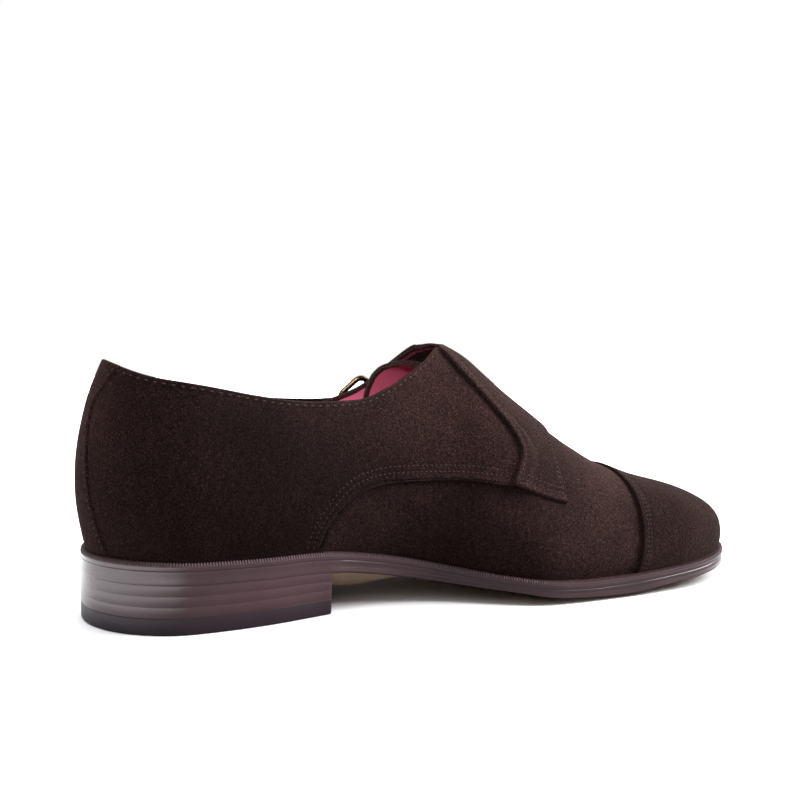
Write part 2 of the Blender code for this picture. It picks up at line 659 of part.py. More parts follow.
def frame_outline():
    """A buckle frame's round-cornered rectangle, with a point at least every 5 mm."""
    corners = []
    for k, (end, across) in enumerate(((1, 1), (1, -1), (-1, -1), (-1, 1))):
        for angle in np.radians(90 - 90 * k - np.array([0, 45, 90])):
            corners.append((end * (FRAME_HALF_LONG - FRAME_CORNER) + FRAME_CORNER * np.cos(angle),
                            across * (FRAME_HALF_WIDE - FRAME_CORNER) + FRAME_CORNER * np.sin(angle)))
    path = []
    for (a, b), (c, d) in zip(corners, corners[1:] + corners[:1]):
        steps = max(1, int(np.hypot(c - a, d - b) / 5.0))
        for k in range(steps):
            path.append((a + (c - a) * k / steps, b + (d - b) * k / steps))
    return np.array(path)


def make_buckle(which, points):
    """A bent frame whose prong rests on its front bar, and the leather tab that holds its rear bar."""
    path = frame_outline()
    toward = (path[:, 0] + FRAME_HALF_LONG) / (2 * FRAME_HALF_LONG)
    lift = FRONT_BAR_LIFT + (REAR_BAR_LIFT - FRONT_BAR_LIFT) * toward
    frame = tube("buckle_" + which, on_strap(points, path[:, 0], path[:, 1], lift), FRAME_BAR, True)
    forward, lift = np.array(PRONG).T
    prong = tube("prong_" + which, on_strap(points, forward, np.zeros(len(PRONG)), lift), PRONG_BAR, False)
    prong.hide_render = True
    prong.display_type = "WIRE"
    join = frame.modifiers.new("prong", "BOOLEAN")
    join.operation = "UNION"
    join.object = prong
    forward = FRAME_HALF_LONG + FRAME_BAR + 0.4 + np.linspace(0, TAB_LONG, 5)
    side = np.linspace(-TAB_HALF_WIDE, TAB_HALF_WIDE, 4)
    ahead, across = np.meshgrid(forward, side, indexing="ij")
    above = on_strap(points, ahead, across, TAB_LIFT + LEATHER)
    thicken("tab_" + which, above, on_strap(points, ahead, across, TAB_LIFT))


def start_again():
    for thing in list(bpy.data.objects):
        bpy.data.objects.remove(thing)


start_again()
make_bottom()
make_heel()
make_upper()
make_tongue()
make_toe_cap()
make_back_strip()
make_quarter("quarter_medial", INNER)
make_quarter("quarter_lateral", OUTER)
make_straps()
make_buckle("upper", UPPER_STRAP)
make_buckle("lower", LOWER_STRAP)
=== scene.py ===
"""The looks of a double monk strap shoe for the left foot: suede panels, stitching, lining, welt, sole,
heel and buckles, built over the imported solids, with the floor, the lights and the camera.

Lengths are millimetres until add_mesh. t runs forwards from the back of the heel, y to the outer (lateral)
side, z up. q is t spread out so that the round ends open evenly, from 0 at the heel to 1 at the toe; w runs
across the upper: -1 at the inner feather edge, 0 on the instep's ridge, +1 at the outer feather edge.
A share is how far up one side of the upper a place lies, from 0 at the feather edge to 1 on the ridge.
"""

import bpy
import numpy as np
from mathutils import Matrix


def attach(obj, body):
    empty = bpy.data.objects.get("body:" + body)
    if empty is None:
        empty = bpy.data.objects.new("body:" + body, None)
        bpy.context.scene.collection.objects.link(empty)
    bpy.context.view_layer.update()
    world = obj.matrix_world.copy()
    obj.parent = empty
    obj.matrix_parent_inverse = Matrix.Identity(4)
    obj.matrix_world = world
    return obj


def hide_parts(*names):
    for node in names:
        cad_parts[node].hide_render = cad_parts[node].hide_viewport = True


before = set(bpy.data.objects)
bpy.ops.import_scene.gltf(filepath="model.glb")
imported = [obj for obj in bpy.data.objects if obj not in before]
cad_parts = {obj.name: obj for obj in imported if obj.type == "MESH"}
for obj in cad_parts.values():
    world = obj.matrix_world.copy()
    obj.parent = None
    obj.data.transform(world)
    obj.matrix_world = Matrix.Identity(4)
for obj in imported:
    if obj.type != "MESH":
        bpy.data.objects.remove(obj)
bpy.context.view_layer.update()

MM = 0.001
LENGTH = 300.0
MIDDLE = (148.46, 3.14)  # the middle of the whole shoe, along t and y: the origin stands under it
INNER, OUTER = -1.0, 1.0

# The edge of the sole: half widths to each side of its own middle line, the height of the welt's top,
# and how far the middle line swings to the inner side.
SOLE = (
    # t, inner, outer, top, swing
    (0, 32.0, 33.0, 25.9, 0.0),
    (18, 33.4, 34.0, 25.9, 0.0),
    (40, 35.3, 35.0, 25.6, 0.0),
    (64, 33.9, 34.6, 25.2, 0.0),
    (88, 29.4, 34.2, 24.4, 0.0),
    (104, 26.4, 35.2, 22.1, 0.0),
    (122, 25.6, 38.4, 18.8, 0.0),
    (140, 29.6, 43.6, 15.2, -0.2),
    (158, 38.0, 50.0, 12.1, -0.8),
    (176, 44.6, 55.0, 9.9, -1.8),
    (194, 44.8, 57.4, 8.7, -3.1),
    (214, 42.8, 57.0, 8.6, -4.7),
    (234, 40.6, 54.0, 9.4, -6.2),
    (252, 37.8, 48.6, 10.4, -7.4),
    (268, 35.2, 42.0, 11.5, -8.3),
    (284, 33.4, 36.2, 12.9, -8.9),
    (300, 31.0, 32.0, 14.5, -9.2),
)
HEEL_ROUND, TOE_ROUND = 36.0, 46.0  # how far from each end the outline starts to close
HEEL_POWER, TOE_POWER = 2.0, 2.15
FLAT_FROM, FLAT_TO = 190.0, 216.0  # where the forefoot lies flat on the ground
WELT_THICK, OUTSOLE_THICK = 3.0, 4.9
FLAT_GAP = 0.2  # between pieces that lie flat on one another
BREAST = 90.0  # the front of the heel
TOP_PIECE = 6.0
HEEL_LAYERS = (0.5, 0.4, 0.35, 0.175)  # how far the heel's joints are set in from the edge, lowest first
RING_WIDTH = 3.6  # how far the welt and the rand reach in under the upper
SOCK_INSET, SOCK_RISE = 2.2, 2.5  # the sock's edge inside the feather edge, and its top above the welt's top
# How far the sole's lower edge stands off the ground: the underside is slightly round across the forefoot.
EDGE_LIFT = ((120, 0.0), (140, 0.8), (155, 1.7), (170, 2.2), (182, 2.4), (192, 2.0), (205, 1.4), (218, 1.0),
             (240, 1.1), (262, 1.3), (300, 1.3))
WAIST_BULGE = 8.0  # how far the sole's underside hangs down under the arch
# The sole's edge from its top down: share of the thickness, and how far it is set in there. It is hollow under
# the welt and full below.
EDGE_PROFILE = ((0.0, 0.26), (0.03, 0.16), (0.08, 0.12), (0.2, 0.20), (0.36, 0.30), (0.5, 0.30), (0.62, 0.18),
                (0.74, 0.04), (0.84, 0.0), (0.92, 0.10), (0.97, 0.30), (1.0, 0.62))
UNDERSIDE_INSETS = (2.5, 6.0, 10.0, 15.0)  # the rows of the underside near its edge
# The welt's and the rand's section: inset, rise from the top, and how much of the ribs it takes.
# An inset of None reaches in under the upper.
WELT_PROFILE = (
    (None, -0.25, 0), (3.0, -0.02, 0), (2.7, 0.0, 0), (2.45, 0.0, 0.6), (2.1, 0.02, 1), (1.7, 0.03, 1),
    (1.3, 0.04, 1), (0.95, 0.02, 1), (0.65, -0.05, 1), (0.38, -0.2, 1), (0.18, -0.45, 0.9), (0.05, -0.8, 0.7),
    (0.0, -1.15, 0.3), (0.0, -1.5, 0), (0.02, -2.1, 0), (0.06, -2.6, 0), (0.14, -2.92, 0),
    (0.30, -WELT_THICK - 0.1, 0), (None, -WELT_THICK - 0.1, 0),
)
RIB_PITCH, RAND_RIBS, WELT_RIBS = 1.05, 0.38, 0.42

# How much of the welt shows outside the upper.
LEDGE = ((0, 1.8), (30, 1.9), (80, 2.0), (120, 2.2), (180, 4.2), (250, 4.2), (300, 3.2))
FEATHER_HEEL, FEATHER_TOE = 3.6, 3.0
LOW, HIGH = FEATHER_HEEL, LENGTH - FEATHER_TOE  # the stations where the upper's feather edge begins and ends

# The last, by stations along its spine: the height of the ridge, how far each wall bulges past the feather
# edge and up to what height, and the exponents of the arch (n sideways, m upwards).
LAST = (
    # t, ridge, bulge inner, bulge outer, bulge height, n, m, spine y
    (34, 118.0, 5.0, 5.0, 36, 2.00, 2.60, 0.0),
    (42, 116.0, 5.0, 5.0, 36, 2.00, 2.60, 0.0),
    (70, 111.0, 4.0, 3.6, 28, 2.00, 2.70, 0.0),
    (100, 108.0, 5.6, 3.2, 30, 1.90, 2.50, -1.0),
    (125, 107.0, 7.0, 3.0, 30, 1.75, 2.20, -2.5),
    (150, 104.0, 4.8, 2.6, 26, 1.65, 1.90, -4.0),
    (175, 85.8, 2.6, 2.6, 18, 1.75, 1.80, -5.0),
    (200, 68.4, 2.0, 2.6, 14, 1.90, 1.85, -6.0),
    (225, 54.2, 1.8, 2.2, 12, 2.10, 2.20, -7.0),
    (240, 48.6, 1.4, 1.8, 12, 2.40, 2.80, -7.5),
    (256, 44.4, 1.0, 1.0, 12, 2.70, 3.80, -8.0),
    (264, 42.8, 1.0, 1.0, 12, 2.70, 3.80, -8.0),
)
HEEL_POLE, TOE_POLE, POLE_BLEND = 42.0, 256.0, 10.0

# The top line, as a share of each side.
COLLAR = (
    # t, inner, outer
    (3.6, 0.625, 0.625), (8, 0.617, 0.615), (20, 0.599, 0.593), (32, 0.592, 0.583), (44, 0.587, 0.574),
    (57, 0.580, 0.563), (71, 0.581, 0.555), (85, 0.598, 0.557), (95, 0.622, 0.566), (104, 0.652, 0.586),
    (110, 0.688, 0.618), (117, 0.735, 0.662), (125, 0.800, 0.738), (134, 0.880, 0.862), (140, 0.948, 0.965),
    (144.5, 1.0, 1.0),
)
THROAT = 144.5  # where the top line crosses the ridge
# The outer side's own top line under the straps, by station.
SHELL_OUTER = ((117, 0.662), (121, 0.698), (126, 0.725), (131, 0.727), (138, 0.715), (146, 0.72), (154, 0.77),
               (162, 0.86), (168, 0.95), (172, 1.0))
WALL = 1.7  # the upper's own wall, lining and all
TURNED_IN = 2.4  # how far the suede is turned in over the lining at the top line

# The back strip, by share: its half width along the sole.
BACK_STRIP = (
    (0.0, 10.6), (0.05, 10.0), (0.10, 8.9), (0.16, 8.1), (0.24, 7.2), (0.34, 6.3), (0.44, 5.5), (0.49, 5.6),
    (0.54, 7.1), (0.61, 9.3),
)
STRIP_OVER = 1.5  # how far the back strip lies over the quarters

# The quarters' lower edge, from the feather edge at the waist up to the front: station and share.
QUARTER_FOOT = (
    (83.6, 0.0), (85.4, 0.080), (90.0, 0.160), (93.5, 0.209), (97.0, 0.247), (101.4, 0.277), (106, 0.299),
    (111, 0.317), (117, 0.331), (127.5, 0.350), (141, 0.367), (155.7, 0.384), (166.5, 0.402),
)
# The quarters' front edges, from the foot up to the top line: station and share.
QUARTER_FRONT = {
    INNER: ((166.5, 0.402), (168.5, 0.48), (170.8, 0.56), (171.2, 0.62), (169.3, 0.68), (163.6, 0.733),
            (154.4, 0.795), (146.0, 0.872), (141.3, 0.952)),
    OUTER: ((166.5, 0.402), (160.0, 0.47), (153.5, 0.54), (147.0, 0.60), (141.5, 0.65), (136.5, 0.69),
            (132.0, 0.725), (128.5, 0.752), (125.5, 0.735)),
}
UNDER_PANEL = {INNER: 4.0, OUTER: 3.0}  # how far each quarter's front edge reaches under the strap panel

# The toe cap's seam, by w: its station.
CAP_SEAM = ((-1.0, 225.4), (-0.8, 227.9), (-0.5, 230.4), (0, 230.0), (0.5, 230.4), (0.8, 228.9), (1.0, 226.4))

# The tongue's top edge, by w: its station.
TONGUE_EDGE = (
    (-0.26, 148.0), (-0.12, 144.5), (0.0, 139.5), (0.05, 136.0), (0.1, 132.5), (0.16, 128.5), (0.2, 124.5),
    (0.24, 122.3), (0.3, 121.0), (0.42, 120.6),
)
TONGUE_END = 174.0
TONGUE_UNDER, TONGUE_SAG = 1.75, 7.5  # its underside below the upper's lining, and its sag in the throat
TONGUE_THICK, TONGUE_RIM = 1.5, 1.5  # and how much thicker it is at its edge

GIRTH = 100.0  # millimetres of surface for one unit of w on the instep
# The strap panel by rows from its lower medial edge over the instep to where it parts into two straps:
# the rear and front edges of the upper strap, then of the lower strap, as (t, w).
PANEL = (
    ((164.4, -0.600), (171.5, -0.602), (180.5, -0.610), (190.4, -0.608)),
    ((167.3, -0.52), (173.5, -0.53), (180.6, -0.53), (189.5, -0.53)),
    ((169.9, -0.44), (175.5, -0.44), (181.6, -0.44), (189.8, -0.44)),
    ((169.4, -0.38), (175.6, -0.37), (182.4, -0.36), (190.1, -0.36)),
    ((165.8, -0.32), (174.0, -0.30), (182.2, -0.29), (190.9, -0.28)),
    ((159.8, -0.267), (170.8, -0.24), (181.4, -0.22), (192.2, -0.21)),
    ((152.4, -0.205), (166.6, -0.18), (180.0, -0.155), (193.4, -0.14)),
    ((145.6, -0.128), (163.6, -0.12), (178.4, -0.10), (193.9, -0.09)),
    ((142.0, -0.048), (161.5, -0.06), (176.8, -0.05), (193.9, -0.045)),
    ((145.0, 0.0), (160.0, 0.0), (175.2, 0.0), (193.5, 0.0)),
    ((141.4, 0.022), (158.6, 0.045), (173.8, 0.04), (192.3, 0.045)),
    ((138.2, 0.062), (156.6, 0.09), (172.4, 0.08), (190.6, 0.09)),
)
# The straps' middle lines, as (t, w), their half widths, and how far each row's underside stands off the upper:
# over the quarter's edge, under the buckle's front bar, over its rear bar and its tab, and down on the quarter.
STRAPS = {
    "upper": ((144.4, 0.115), (141.6, 0.165), (139.0, 0.213), (136.2, 0.260), (133.2, 0.305), (130.1, 0.348),
              (126.7, 0.390), (123.1, 0.430), (119.4, 0.469), (115.3, 0.506), (111.6, 0.538), (109.3, 0.558)),
    "lower": ((177.6, 0.145), (174.8, 0.193), (171.6, 0.240), (168.2, 0.286), (164.4, 0.331), (160.3, 0.374),
              (156.0, 0.416), (151.6, 0.457), (147.1, 0.497), (142.6, 0.536), (138.8, 0.569), (136.5, 0.589)),
}
STRAP_HALF = (9.4, 8.9, 8.5, 8.2, 8.0, 8.0, 8.0, 8.0, 8.0, 7.6, 6.2, 3.6)
STRAP_LIE = {
    "upper": (0.30, 0.60, 0.90, 1.35, 1.50, 1.60, 1.90, 3.00, 4.60, 4.60, 3.50, 2.20),
    "lower": (0.10, 0.15, 0.30, 0.60, 1.10, 1.50, 1.90, 3.00, 4.60, 4.60, 3.50, 2.20),
}
PANEL_OVER = 1.2  # the panel's lift where it lies over the front of the inner quarter
TIP_ROUND, TIP_REACH, TIP_ROWS = 8.0, 0.9, 11  # the strap's round tip
FORK_BAY = 5.0  # how deep the bay between the two straps is rounded
BAR_ROWS = (18, 20)  # the rows of the short bar of stitches at the panel's front edge
HOLES, HOLE_RADIUS = (-5.1, 2.4, 9.9, 17.4), 1.35  # forward of the buckle's middle
BUCKLE_AT = 7  # the buckle's middle, in rows of its strap
FRAME_HALF_LONG, FRAME_HALF_WIDE, FRAME_CORNER, FRAME_BAR = 7.5, 11.2, 3.8, 1.35
FRONT_BAR_LIFT, REAR_BAR_LIFT = 5.00, 3.00
# The prong from its tip on the front bar to its root on the rear one, and the tab's folded leather:
# forward of the buckle's middle, and lift.
PRONG_WAY = ((-9.4, 6.35), (-7.5, 6.75), (-4.5, 6.60), (-1.0, 6.00), (2.0, 4.90), (4.5, 3.60), (6.6, 2.90))
TAB_WAY = ((19.8, 1.75), (14.0, 1.75), (10.0, 1.70), (7.5, 1.55), (6.3, 2.05), (6.02, 3.0), (6.5, 4.1),
           (7.6, 4.5), (9.4, 3.9), (11.5, 2.95), (14.0, 2.6), (19.8, 2.6))
TAB_HALF_WIDE, TAB_HALF_THICK = 6.0, 0.42


# ------------------------ curves and lines
def smooth(u):
    u = np.clip(u, 0.0, 1.0)
    return u * u * (3 - 2 * u)


def unit(v):
    return v / np.linalg.norm(v, axis=-1, keepdims=True)


def left_of(v):
    """Flat directions turned a quarter to the left."""
    return np.stack([-v[..., 1], v[..., 0]], -1)


def run_of(line):
    """How far along a line each of its points lies."""
    return np.concatenate([[0], np.cumsum(np.linalg.norm(np.diff(line, axis=0), axis=-1))])


def at_run(line, run, at):
    """Places on a line, by how far along it they lie."""
    return np.stack([np.interp(at, run, column) for column in line.T], -1)


def through(xs, ys):
    """A smooth curve through values at some places, by the parabola through each three of them."""
    xs, ys = np.asarray(xs, float), np.asarray(ys, float)
    rest = (1,) * (ys.ndim - 1)
    gap = np.diff(xs).reshape(-1, *rest)
    slope = np.diff(ys, axis=0) / gap
    bend = (slope[:-1] * gap[1:] + slope[1:] * gap[:-1]) / (gap[1:] + gap[:-1])
    tangent = np.concatenate([slope[:1], bend, slope[-1:]])

    def curve(x):
        x = np.clip(np.asarray(x, float), xs[0], xs[-1])
        i = np.clip(np.searchsorted(xs, x, side="right") - 1, 0, len(xs) - 2)
        u = np.reshape(x - xs[i], x.shape + rest) / gap[i]
        start = ys[i] * (1 + 2 * u) * (1 - u) ** 2 + tangent[i] * gap[i] * u * (1 - u) ** 2
        end = ys[i + 1] * u * u * (3 - 2 * u) + tangent[i + 1] * gap[i] * u * u * (u - 1)
        return start + end

    return curve


def hermite(table, column=1):
    """The smooth curve through one column of a table over its first."""
    return through([row[0] for row in table], [row[column] for row in table])


def soft_line(points, at):
    """A smooth line through a few points of two numbers, at some shares of its length."""
    points = np.array(points, float)
    run = run_of(points / [1, 0.01])
    return through(run, points)(at * run[-1])


BODY = {INNER: hermite(SOLE, 1), OUTER: hermite(SOLE, 2)}
TOP, SWING = hermite(SOLE, 3), hermite(SOLE, 4)
LEDGE_AT = hermite(LEDGE)
RIDGE, BULGE_HEIGHT, SIDEWAYS, UPWARD, SPINE_Y = (hermite(LAST, k) for k in (1, 4, 5, 6, 7))
BULGE = {INNER: hermite(LAST, 2), OUTER: hermite(LAST, 3)}
COLLAR_AT = {INNER: hermite(COLLAR, 1), OUTER: hermite(COLLAR, 2)}
STRIP_HALF = hermite(BACK_STRIP)


def station(q, low=LOW, high=HIGH):
    return low + (high - low) * (0.5 - 0.5 * np.cos(np.pi * q))


def q_of(t, low=LOW, high=HIGH):
    return np.arccos(1 - 2 * (np.clip(t, low, high) - low) / (high - low)) / np.pi


def stations(count, end=LENGTH, low=0.0, high=LENGTH):
    """Stations from low to an end, close together where the sole's outline is round."""
    return station(np.linspace(0, q_of(end, low, high), count + 1), low, high)


def edge_y(side, t, inset=0.0, at_heel=0.0, at_toe=0.0):
    """The sole's edge on one side, or a line set in from it."""
    heel = 1 - np.clip((t - at_heel) / HEEL_ROUND, 0.0, 1.0)
    toe = 1 - np.clip((LENGTH - at_toe - t) / TOE_ROUND, 0.0, 1.0)
    ends = (1 - heel**HEEL_POWER) ** (1 / HEEL_POWER) * (1 - toe**TOE_POWER) ** (1 / TOE_POWER)
    return SWING(t) + side * (BODY[side](t) - inset) * ends


# ------------------------ the last as a chart
ARC = np.pi / 2 * smooth(np.linspace(0, 1, 61))
Q_COUNT, W_COUNT, PAD = 481, 321, 2


def spine_t(t):
    """The station on the spine that a station of the feather edge is joined to."""
    def soft(x):
        return POLE_BLEND * np.log1p(np.exp(-np.abs(x) / POLE_BLEND)) + np.maximum(x, 0)

    low = HEEL_POLE + soft(t - HEEL_POLE)
    return TOE_POLE - soft(TOE_POLE - low)


def last_arch(side, t, angle):
    """A point of the last: angle is 0 at the feather edge and a right angle on the ridge."""
    t, angle = np.broadcast_arrays(t, angle)
    ts = spine_t(t)
    foot_z = TOP(t)
    spine_y = SPINE_Y(ts)
    dx, dy = t - ts, edge_y(side, t, LEDGE_AT(t), FEATHER_HEEL, FEATHER_TOE) - spine_y
    reach = np.hypot(dx, dy)
    rho = np.clip(np.cos(angle), 0, 1) ** (2 / SIDEWAYS(ts))
    rise = np.clip(np.sin(angle), 0, 1) ** (2 / UPWARD(ts))
    bulge = BULGE[side](ts)
    low = np.clip(1 - rise * (RIDGE(ts) - foot_z) / BULGE_HEIGHT(ts), 0, 1)
    out = (reach + bulge) * rho - bulge * low**2
    x = ts + dx / reach * out
    y = spine_y + dy / reach * out
    tilt = (RIDGE(ts + 2) - RIDGE(ts - 2)) / 4
    top = RIDGE(ts) + tilt * (x - ts)
    return np.stack([x, y, foot_z + (top - foot_z) * rise], -1)


def past_ends(table):
    """The table carried on past the heel and the toe, where it comes back on the other side."""
    return np.concatenate([table[PAD:0:-1, ::-1], table, table[-2:-2 - PAD:-1, ::-1]])


def make_chart():
    """The upper's outside and its outward normals, over an even grid of q and w."""
    t = station(np.linspace(0, 1, Q_COUNT))
    w = np.linspace(-1, 1, W_COUNT)
    place = np.empty((Q_COUNT, W_COUNT, 3))
    for side, here in ((INNER, w < 0), (OUTER, w >= 0)):
        arch = last_arch(side, t[:, None], ARC[None, :])
        angle = []
        for line in arch:
            run = run_of(line)
            angle.append(np.interp(1 - np.abs(w[here]), run / run[-1], ARC))
        place[:, here] = last_arch(side, t[:, None], np.array(angle))
    padded = past_ends(place)
    along = padded[PAD + 1:Q_COUNT + PAD + 1] - padded[PAD - 1:Q_COUNT + PAD - 1]
    normal = np.cross(along, np.gradient(place, axis=1))
    pole = int(0.014 * Q_COUNT)  # the poles have no direction of their own
    crest = np.abs(w) < 0.03
    normal[:pole, crest] = normal[pole, crest]
    normal[-pole:, crest] = normal[-pole - 1, crest]
    return padded, past_ends(unit(normal))


PLACE, NORMAL = make_chart()


def weights(f):
    """Catmull-Rom weights of the four grid points round a place between the second and the third."""
    return (
        0.5 * (-f + 2 * f**2 - f**3),
        0.5 * (2 - 5 * f**2 + 3 * f**3),
        0.5 * (f + 4 * f**2 - 3 * f**3),
        0.5 * (-(f**2) + f**3),
    )


def on_last(q, w):
    """The upper's outside and its normal at q and w."""
    q, w = np.broadcast_arrays(np.asarray(q, float), np.asarray(w, float))
    beyond = (q < 0) | (q > 1)
    w = np.where(beyond, -w, w)
    q = np.where(q < 0, -q, np.where(q > 1, 2 - q, q))
    x = q * (Q_COUNT - 1)
    y = (np.clip(w, -1, 1) + 1) / 2 * (W_COUNT - 1)
    i = np.minimum(x.astype(int), Q_COUNT - 2)
    j = np.minimum(y.astype(int), W_COUNT - 2)
    place, normal = 0.0, 0.0
    for a, p in enumerate(weights(x - i)):
        for b, s in enumerate(weights(y - j)):
            at = i + PAD - 1 + a, np.clip(j - 1 + b, 0, W_COUNT - 1)
            share = (p * s)[..., None]
            place = place + share * PLACE[at]
            normal = normal + share * NORMAL[at]
    return place, unit(normal)


def places(line):
    """The places of a line of (q, w)."""
    return on_last(line[..., 0], line[..., 1])[0]


def offset_line(line, inset):
    """A line of (q, w) moved sideways over the surface by some millimetres, to the left of its run."""
    step = 0.002
    q, w = line[:, 0], line[:, 1]
    place, normal = on_last(q, w)
    side = np.cross(normal, unit(np.gradient(place, axis=0))) * inset
    dq = (on_last(q + step, w)[0] - on_last(q - step, w)[0]) / (2 * step)
    dw = (on_last(q, np.clip(w + step, -1, 1))[0] - on_last(q, np.clip(w - step, -1, 1))[0]) / (2 * step)
    a, b, c = (dq * dq).sum(-1), (dq * dw).sum(-1), (dw * dw).sum(-1)
    p, r = (dq * side).sum(-1), (dw * side).sum(-1)
    det = a * c - b * b
    return np.stack([q + (c * p - b * r) / det, w + (a * r - b * p) / det], -1)


def from_share(side, line):
    """A line of (q, share) on one side as one of (q, w)."""
    return np.stack([line[:, 0], side * (1 - line[:, 1])], -1)


def on_chart(points):
    """Places of the instep's flat pattern, in millimetres, as (q, w)."""
    return np.stack([q_of(points[..., 0]), points[..., 1] / GIRTH], -1)


# ------------------------ materials
REACH = 0.15  # half the shoe's length, in metres


def nodes_of(name):
    material = bpy.data.materials.new(name)
    material.use_nodes = True
    return material, material.node_tree, material.node_tree.nodes["Principled BSDF"]


def wire(tree, node, inputs):
    """Gives a node its inputs: another node's output is linked, a plain value is set."""
    for key, value in dict(inputs).items():
        if isinstance(value, bpy.types.NodeSocket):
            tree.links.new(value, node.inputs[key])
        else:
            node.inputs[key].default_value = value
    return node


def add_node(tree, kind, inputs=(), **settings):
    node = tree.nodes.new(kind)
    for key, value in settings.items():
        setattr(node, key, value)
    return wire(tree, node, inputs)


def coordinate(tree, source, axis):
    """One of the three numbers of a place."""
    place = add_node(tree, "ShaderNodeTexCoord").outputs[source]
    return add_node(tree, "ShaderNodeSeparateXYZ", {0: place}).outputs[axis]


def noise(tree, scale, detail=3.0, rough=0.6, stretch=(1, 1, 1)):
    """Noise over the object's own coordinates, in cycles per metre."""
    place = add_node(tree, "ShaderNodeTexCoord").outputs["Object"]
    shape = add_node(tree, "ShaderNodeMapping", {"Vector": place, "Scale": stretch}).outputs["Vector"]
    settings = {"Vector": shape, "Scale": scale, "Detail": detail, "Roughness": rough}
    return add_node(tree, "ShaderNodeTexNoise", settings).outputs["Fac"]


def ramp(tree, value, stops):
    """A colour that follows a value through stops of (place, tone), where a tone is one number or three."""
    node = add_node(tree, "ShaderNodeValToRGB", {"Fac": value})
    band = node.color_ramp
    while len(band.elements) < len(stops):
        band.elements.new(0.5)
    for element, (place, tone) in zip(band.elements, stops):
        element.position = place
        element.color = (*np.broadcast_to(tone, 3), 1.0)
    return node.outputs["Color"]


def mixed(tree, first, second, kind="MULTIPLY"):
    inputs = {"Factor": 1.0, "A": first, "B": second}
    return add_node(tree, "ShaderNodeMix", inputs, data_type="RGBA", blend_type=kind).outputs["Result"]


def bump(tree, shader, *layers):
    """Layers of bump, each a height, how strong it is and how deep in metres."""
    under = {}
    for height, strength, depth in layers:
        inputs = {"Height": height, "Strength": strength, "Distance": depth, **under}
        under = {"Normal": add_node(tree, "ShaderNodeBump", inputs).outputs["Normal"]}
    wire(tree, shader, under)


def shades(colour, stops):
    """Stops of (place, factor) as darker and lighter shades of one colour."""
    return [(place, tuple(min(1.0, c * factor) for c in colour)) for place, factor in stops]


def along_shoe(tree, stops):
    """A tone that changes slowly from the heel to the toe, by stops of (metres forward of the middle, tone)."""
    scale = {0: coordinate(tree, "Object", "X"), 1: 1 / (2 * REACH), 2: 0.5}
    share = add_node(tree, "ShaderNodeMath", scale, operation="MULTIPLY_ADD").outputs[0]
    return ramp(tree, share, [(0.5 + x / (2 * REACH), tone) for x, tone in stops])


def suede(name, colour, nap=1.0, painted_shade=None):
    """Suede: a cloudy nap, fine light and dark fibres, and a soft sheen at grazing angles. Stops along the
    shoe, when given, paint light and shade on it."""
    material, tree, shader = nodes_of(name)
    fibres = shades(colour, ((0.34, 0.35), (0.47, 0.80), (0.55, 1.25), (0.68, 2.8)))
    base = ramp(tree, noise(tree, 1900, 2, 0.7), fibres)
    clumps = ramp(tree, noise(tree, 620), ((0.36, (0.80, 0.79, 0.79)), (0.64, (1.20, 1.19, 1.18))))
    patches = ramp(tree, noise(tree, 26, 4, 0.55), ((0.34, (0.76, 0.74, 0.74)), (0.66, (1.26, 1.24, 1.23))))
    # the stops along the shoe are painted light and shade
    for tone in [clumps, patches] + ([along_shoe(tree, painted_shade)] if painted_shade else []):
        base = mixed(tree, base, tone)
    wire(tree, shader, {
        "Base Color": base, "Roughness": 0.95, "Specular IOR Level": 0.08, "Sheen Weight": 0.07,
        "Sheen Roughness": 0.40, "Sheen Tint": (0.80, 0.58, 0.50, 1.0),
    })
    bump(tree, shader, (noise(tree, 240), 0.40 * nap, 0.0008), (noise(tree, 1000, 3, 0.7), 0.80 * nap, 0.0006))
    return material


def leather(name, colour, rough, grain=700.0, depth=0.00012, painted_shade_stops=None):
    material, tree, shader = nodes_of(name)
    base = ramp(tree, noise(tree, 60, 4, 0.55), shades(colour, ((0.3, 0.82), (0.7, 1.15))))
    # painted shade along the shoe, by stops
    if painted_shade_stops:
        base = mixed(tree, base, along_shoe(tree, painted_shade_stops))
    wire(tree, shader, {"Base Color": base, "Roughness": rough})
    bump(tree, shader, (noise(tree, grain, 4, 0.6), 0.5, depth))
    return material


def edge_finish(name, colour, rough, streaks, coat):
    """Stained and burnished leather cut across its layers: fine streaks that run level round the edge."""
    material, tree, shader = nodes_of(name)
    layers = noise(tree, 30, 5, 0.65, (1, 1, 45))
    streaked = ((0.25, 1 - 0.30 * streaks), (0.5, 1.0), (0.75, 1 + 0.28 * streaks))
    tint = ramp(tree, layers, shades(colour, streaked))
    wear = ramp(tree, noise(tree, 55, 3, 0.5), ((0.35, (0.88, 0.86, 0.87)), (0.7, (1.10, 1.08, 1.08))))
    gloss = ramp(tree, layers, ((0.3, rough * 0.93), (0.7, rough * 1.08)))
    wire(tree, shader, {"Base Color": mixed(tree, tint, wear), "Roughness": gloss, "Coat Weight": coat,
                        "Coat Roughness": 0.20})
    bump(tree, shader, (layers, 0.25 * streaks, 0.00012), (noise(tree, 900), 0.2, 0.0001))
    return material


def brass(name):
    material, tree, shader = nodes_of(name)
    dark, bright = (0.035, 0.024, 0.014), (0.17, 0.115, 0.055)
    patina = ramp(tree, noise(tree, 320, 5, 0.65), ((0.35, dark), (0.68, bright)))
    gloss = ramp(tree, noise(tree, 500, 4, 0.6), ((0.3, 0.22), (0.7, 0.42)))
    wire(tree, shader, {"Base Color": patina, "Metallic": 1.0, "Roughness": gloss})
    bump(tree, shader, (noise(tree, 700), 0.15, 0.0001))
    return material
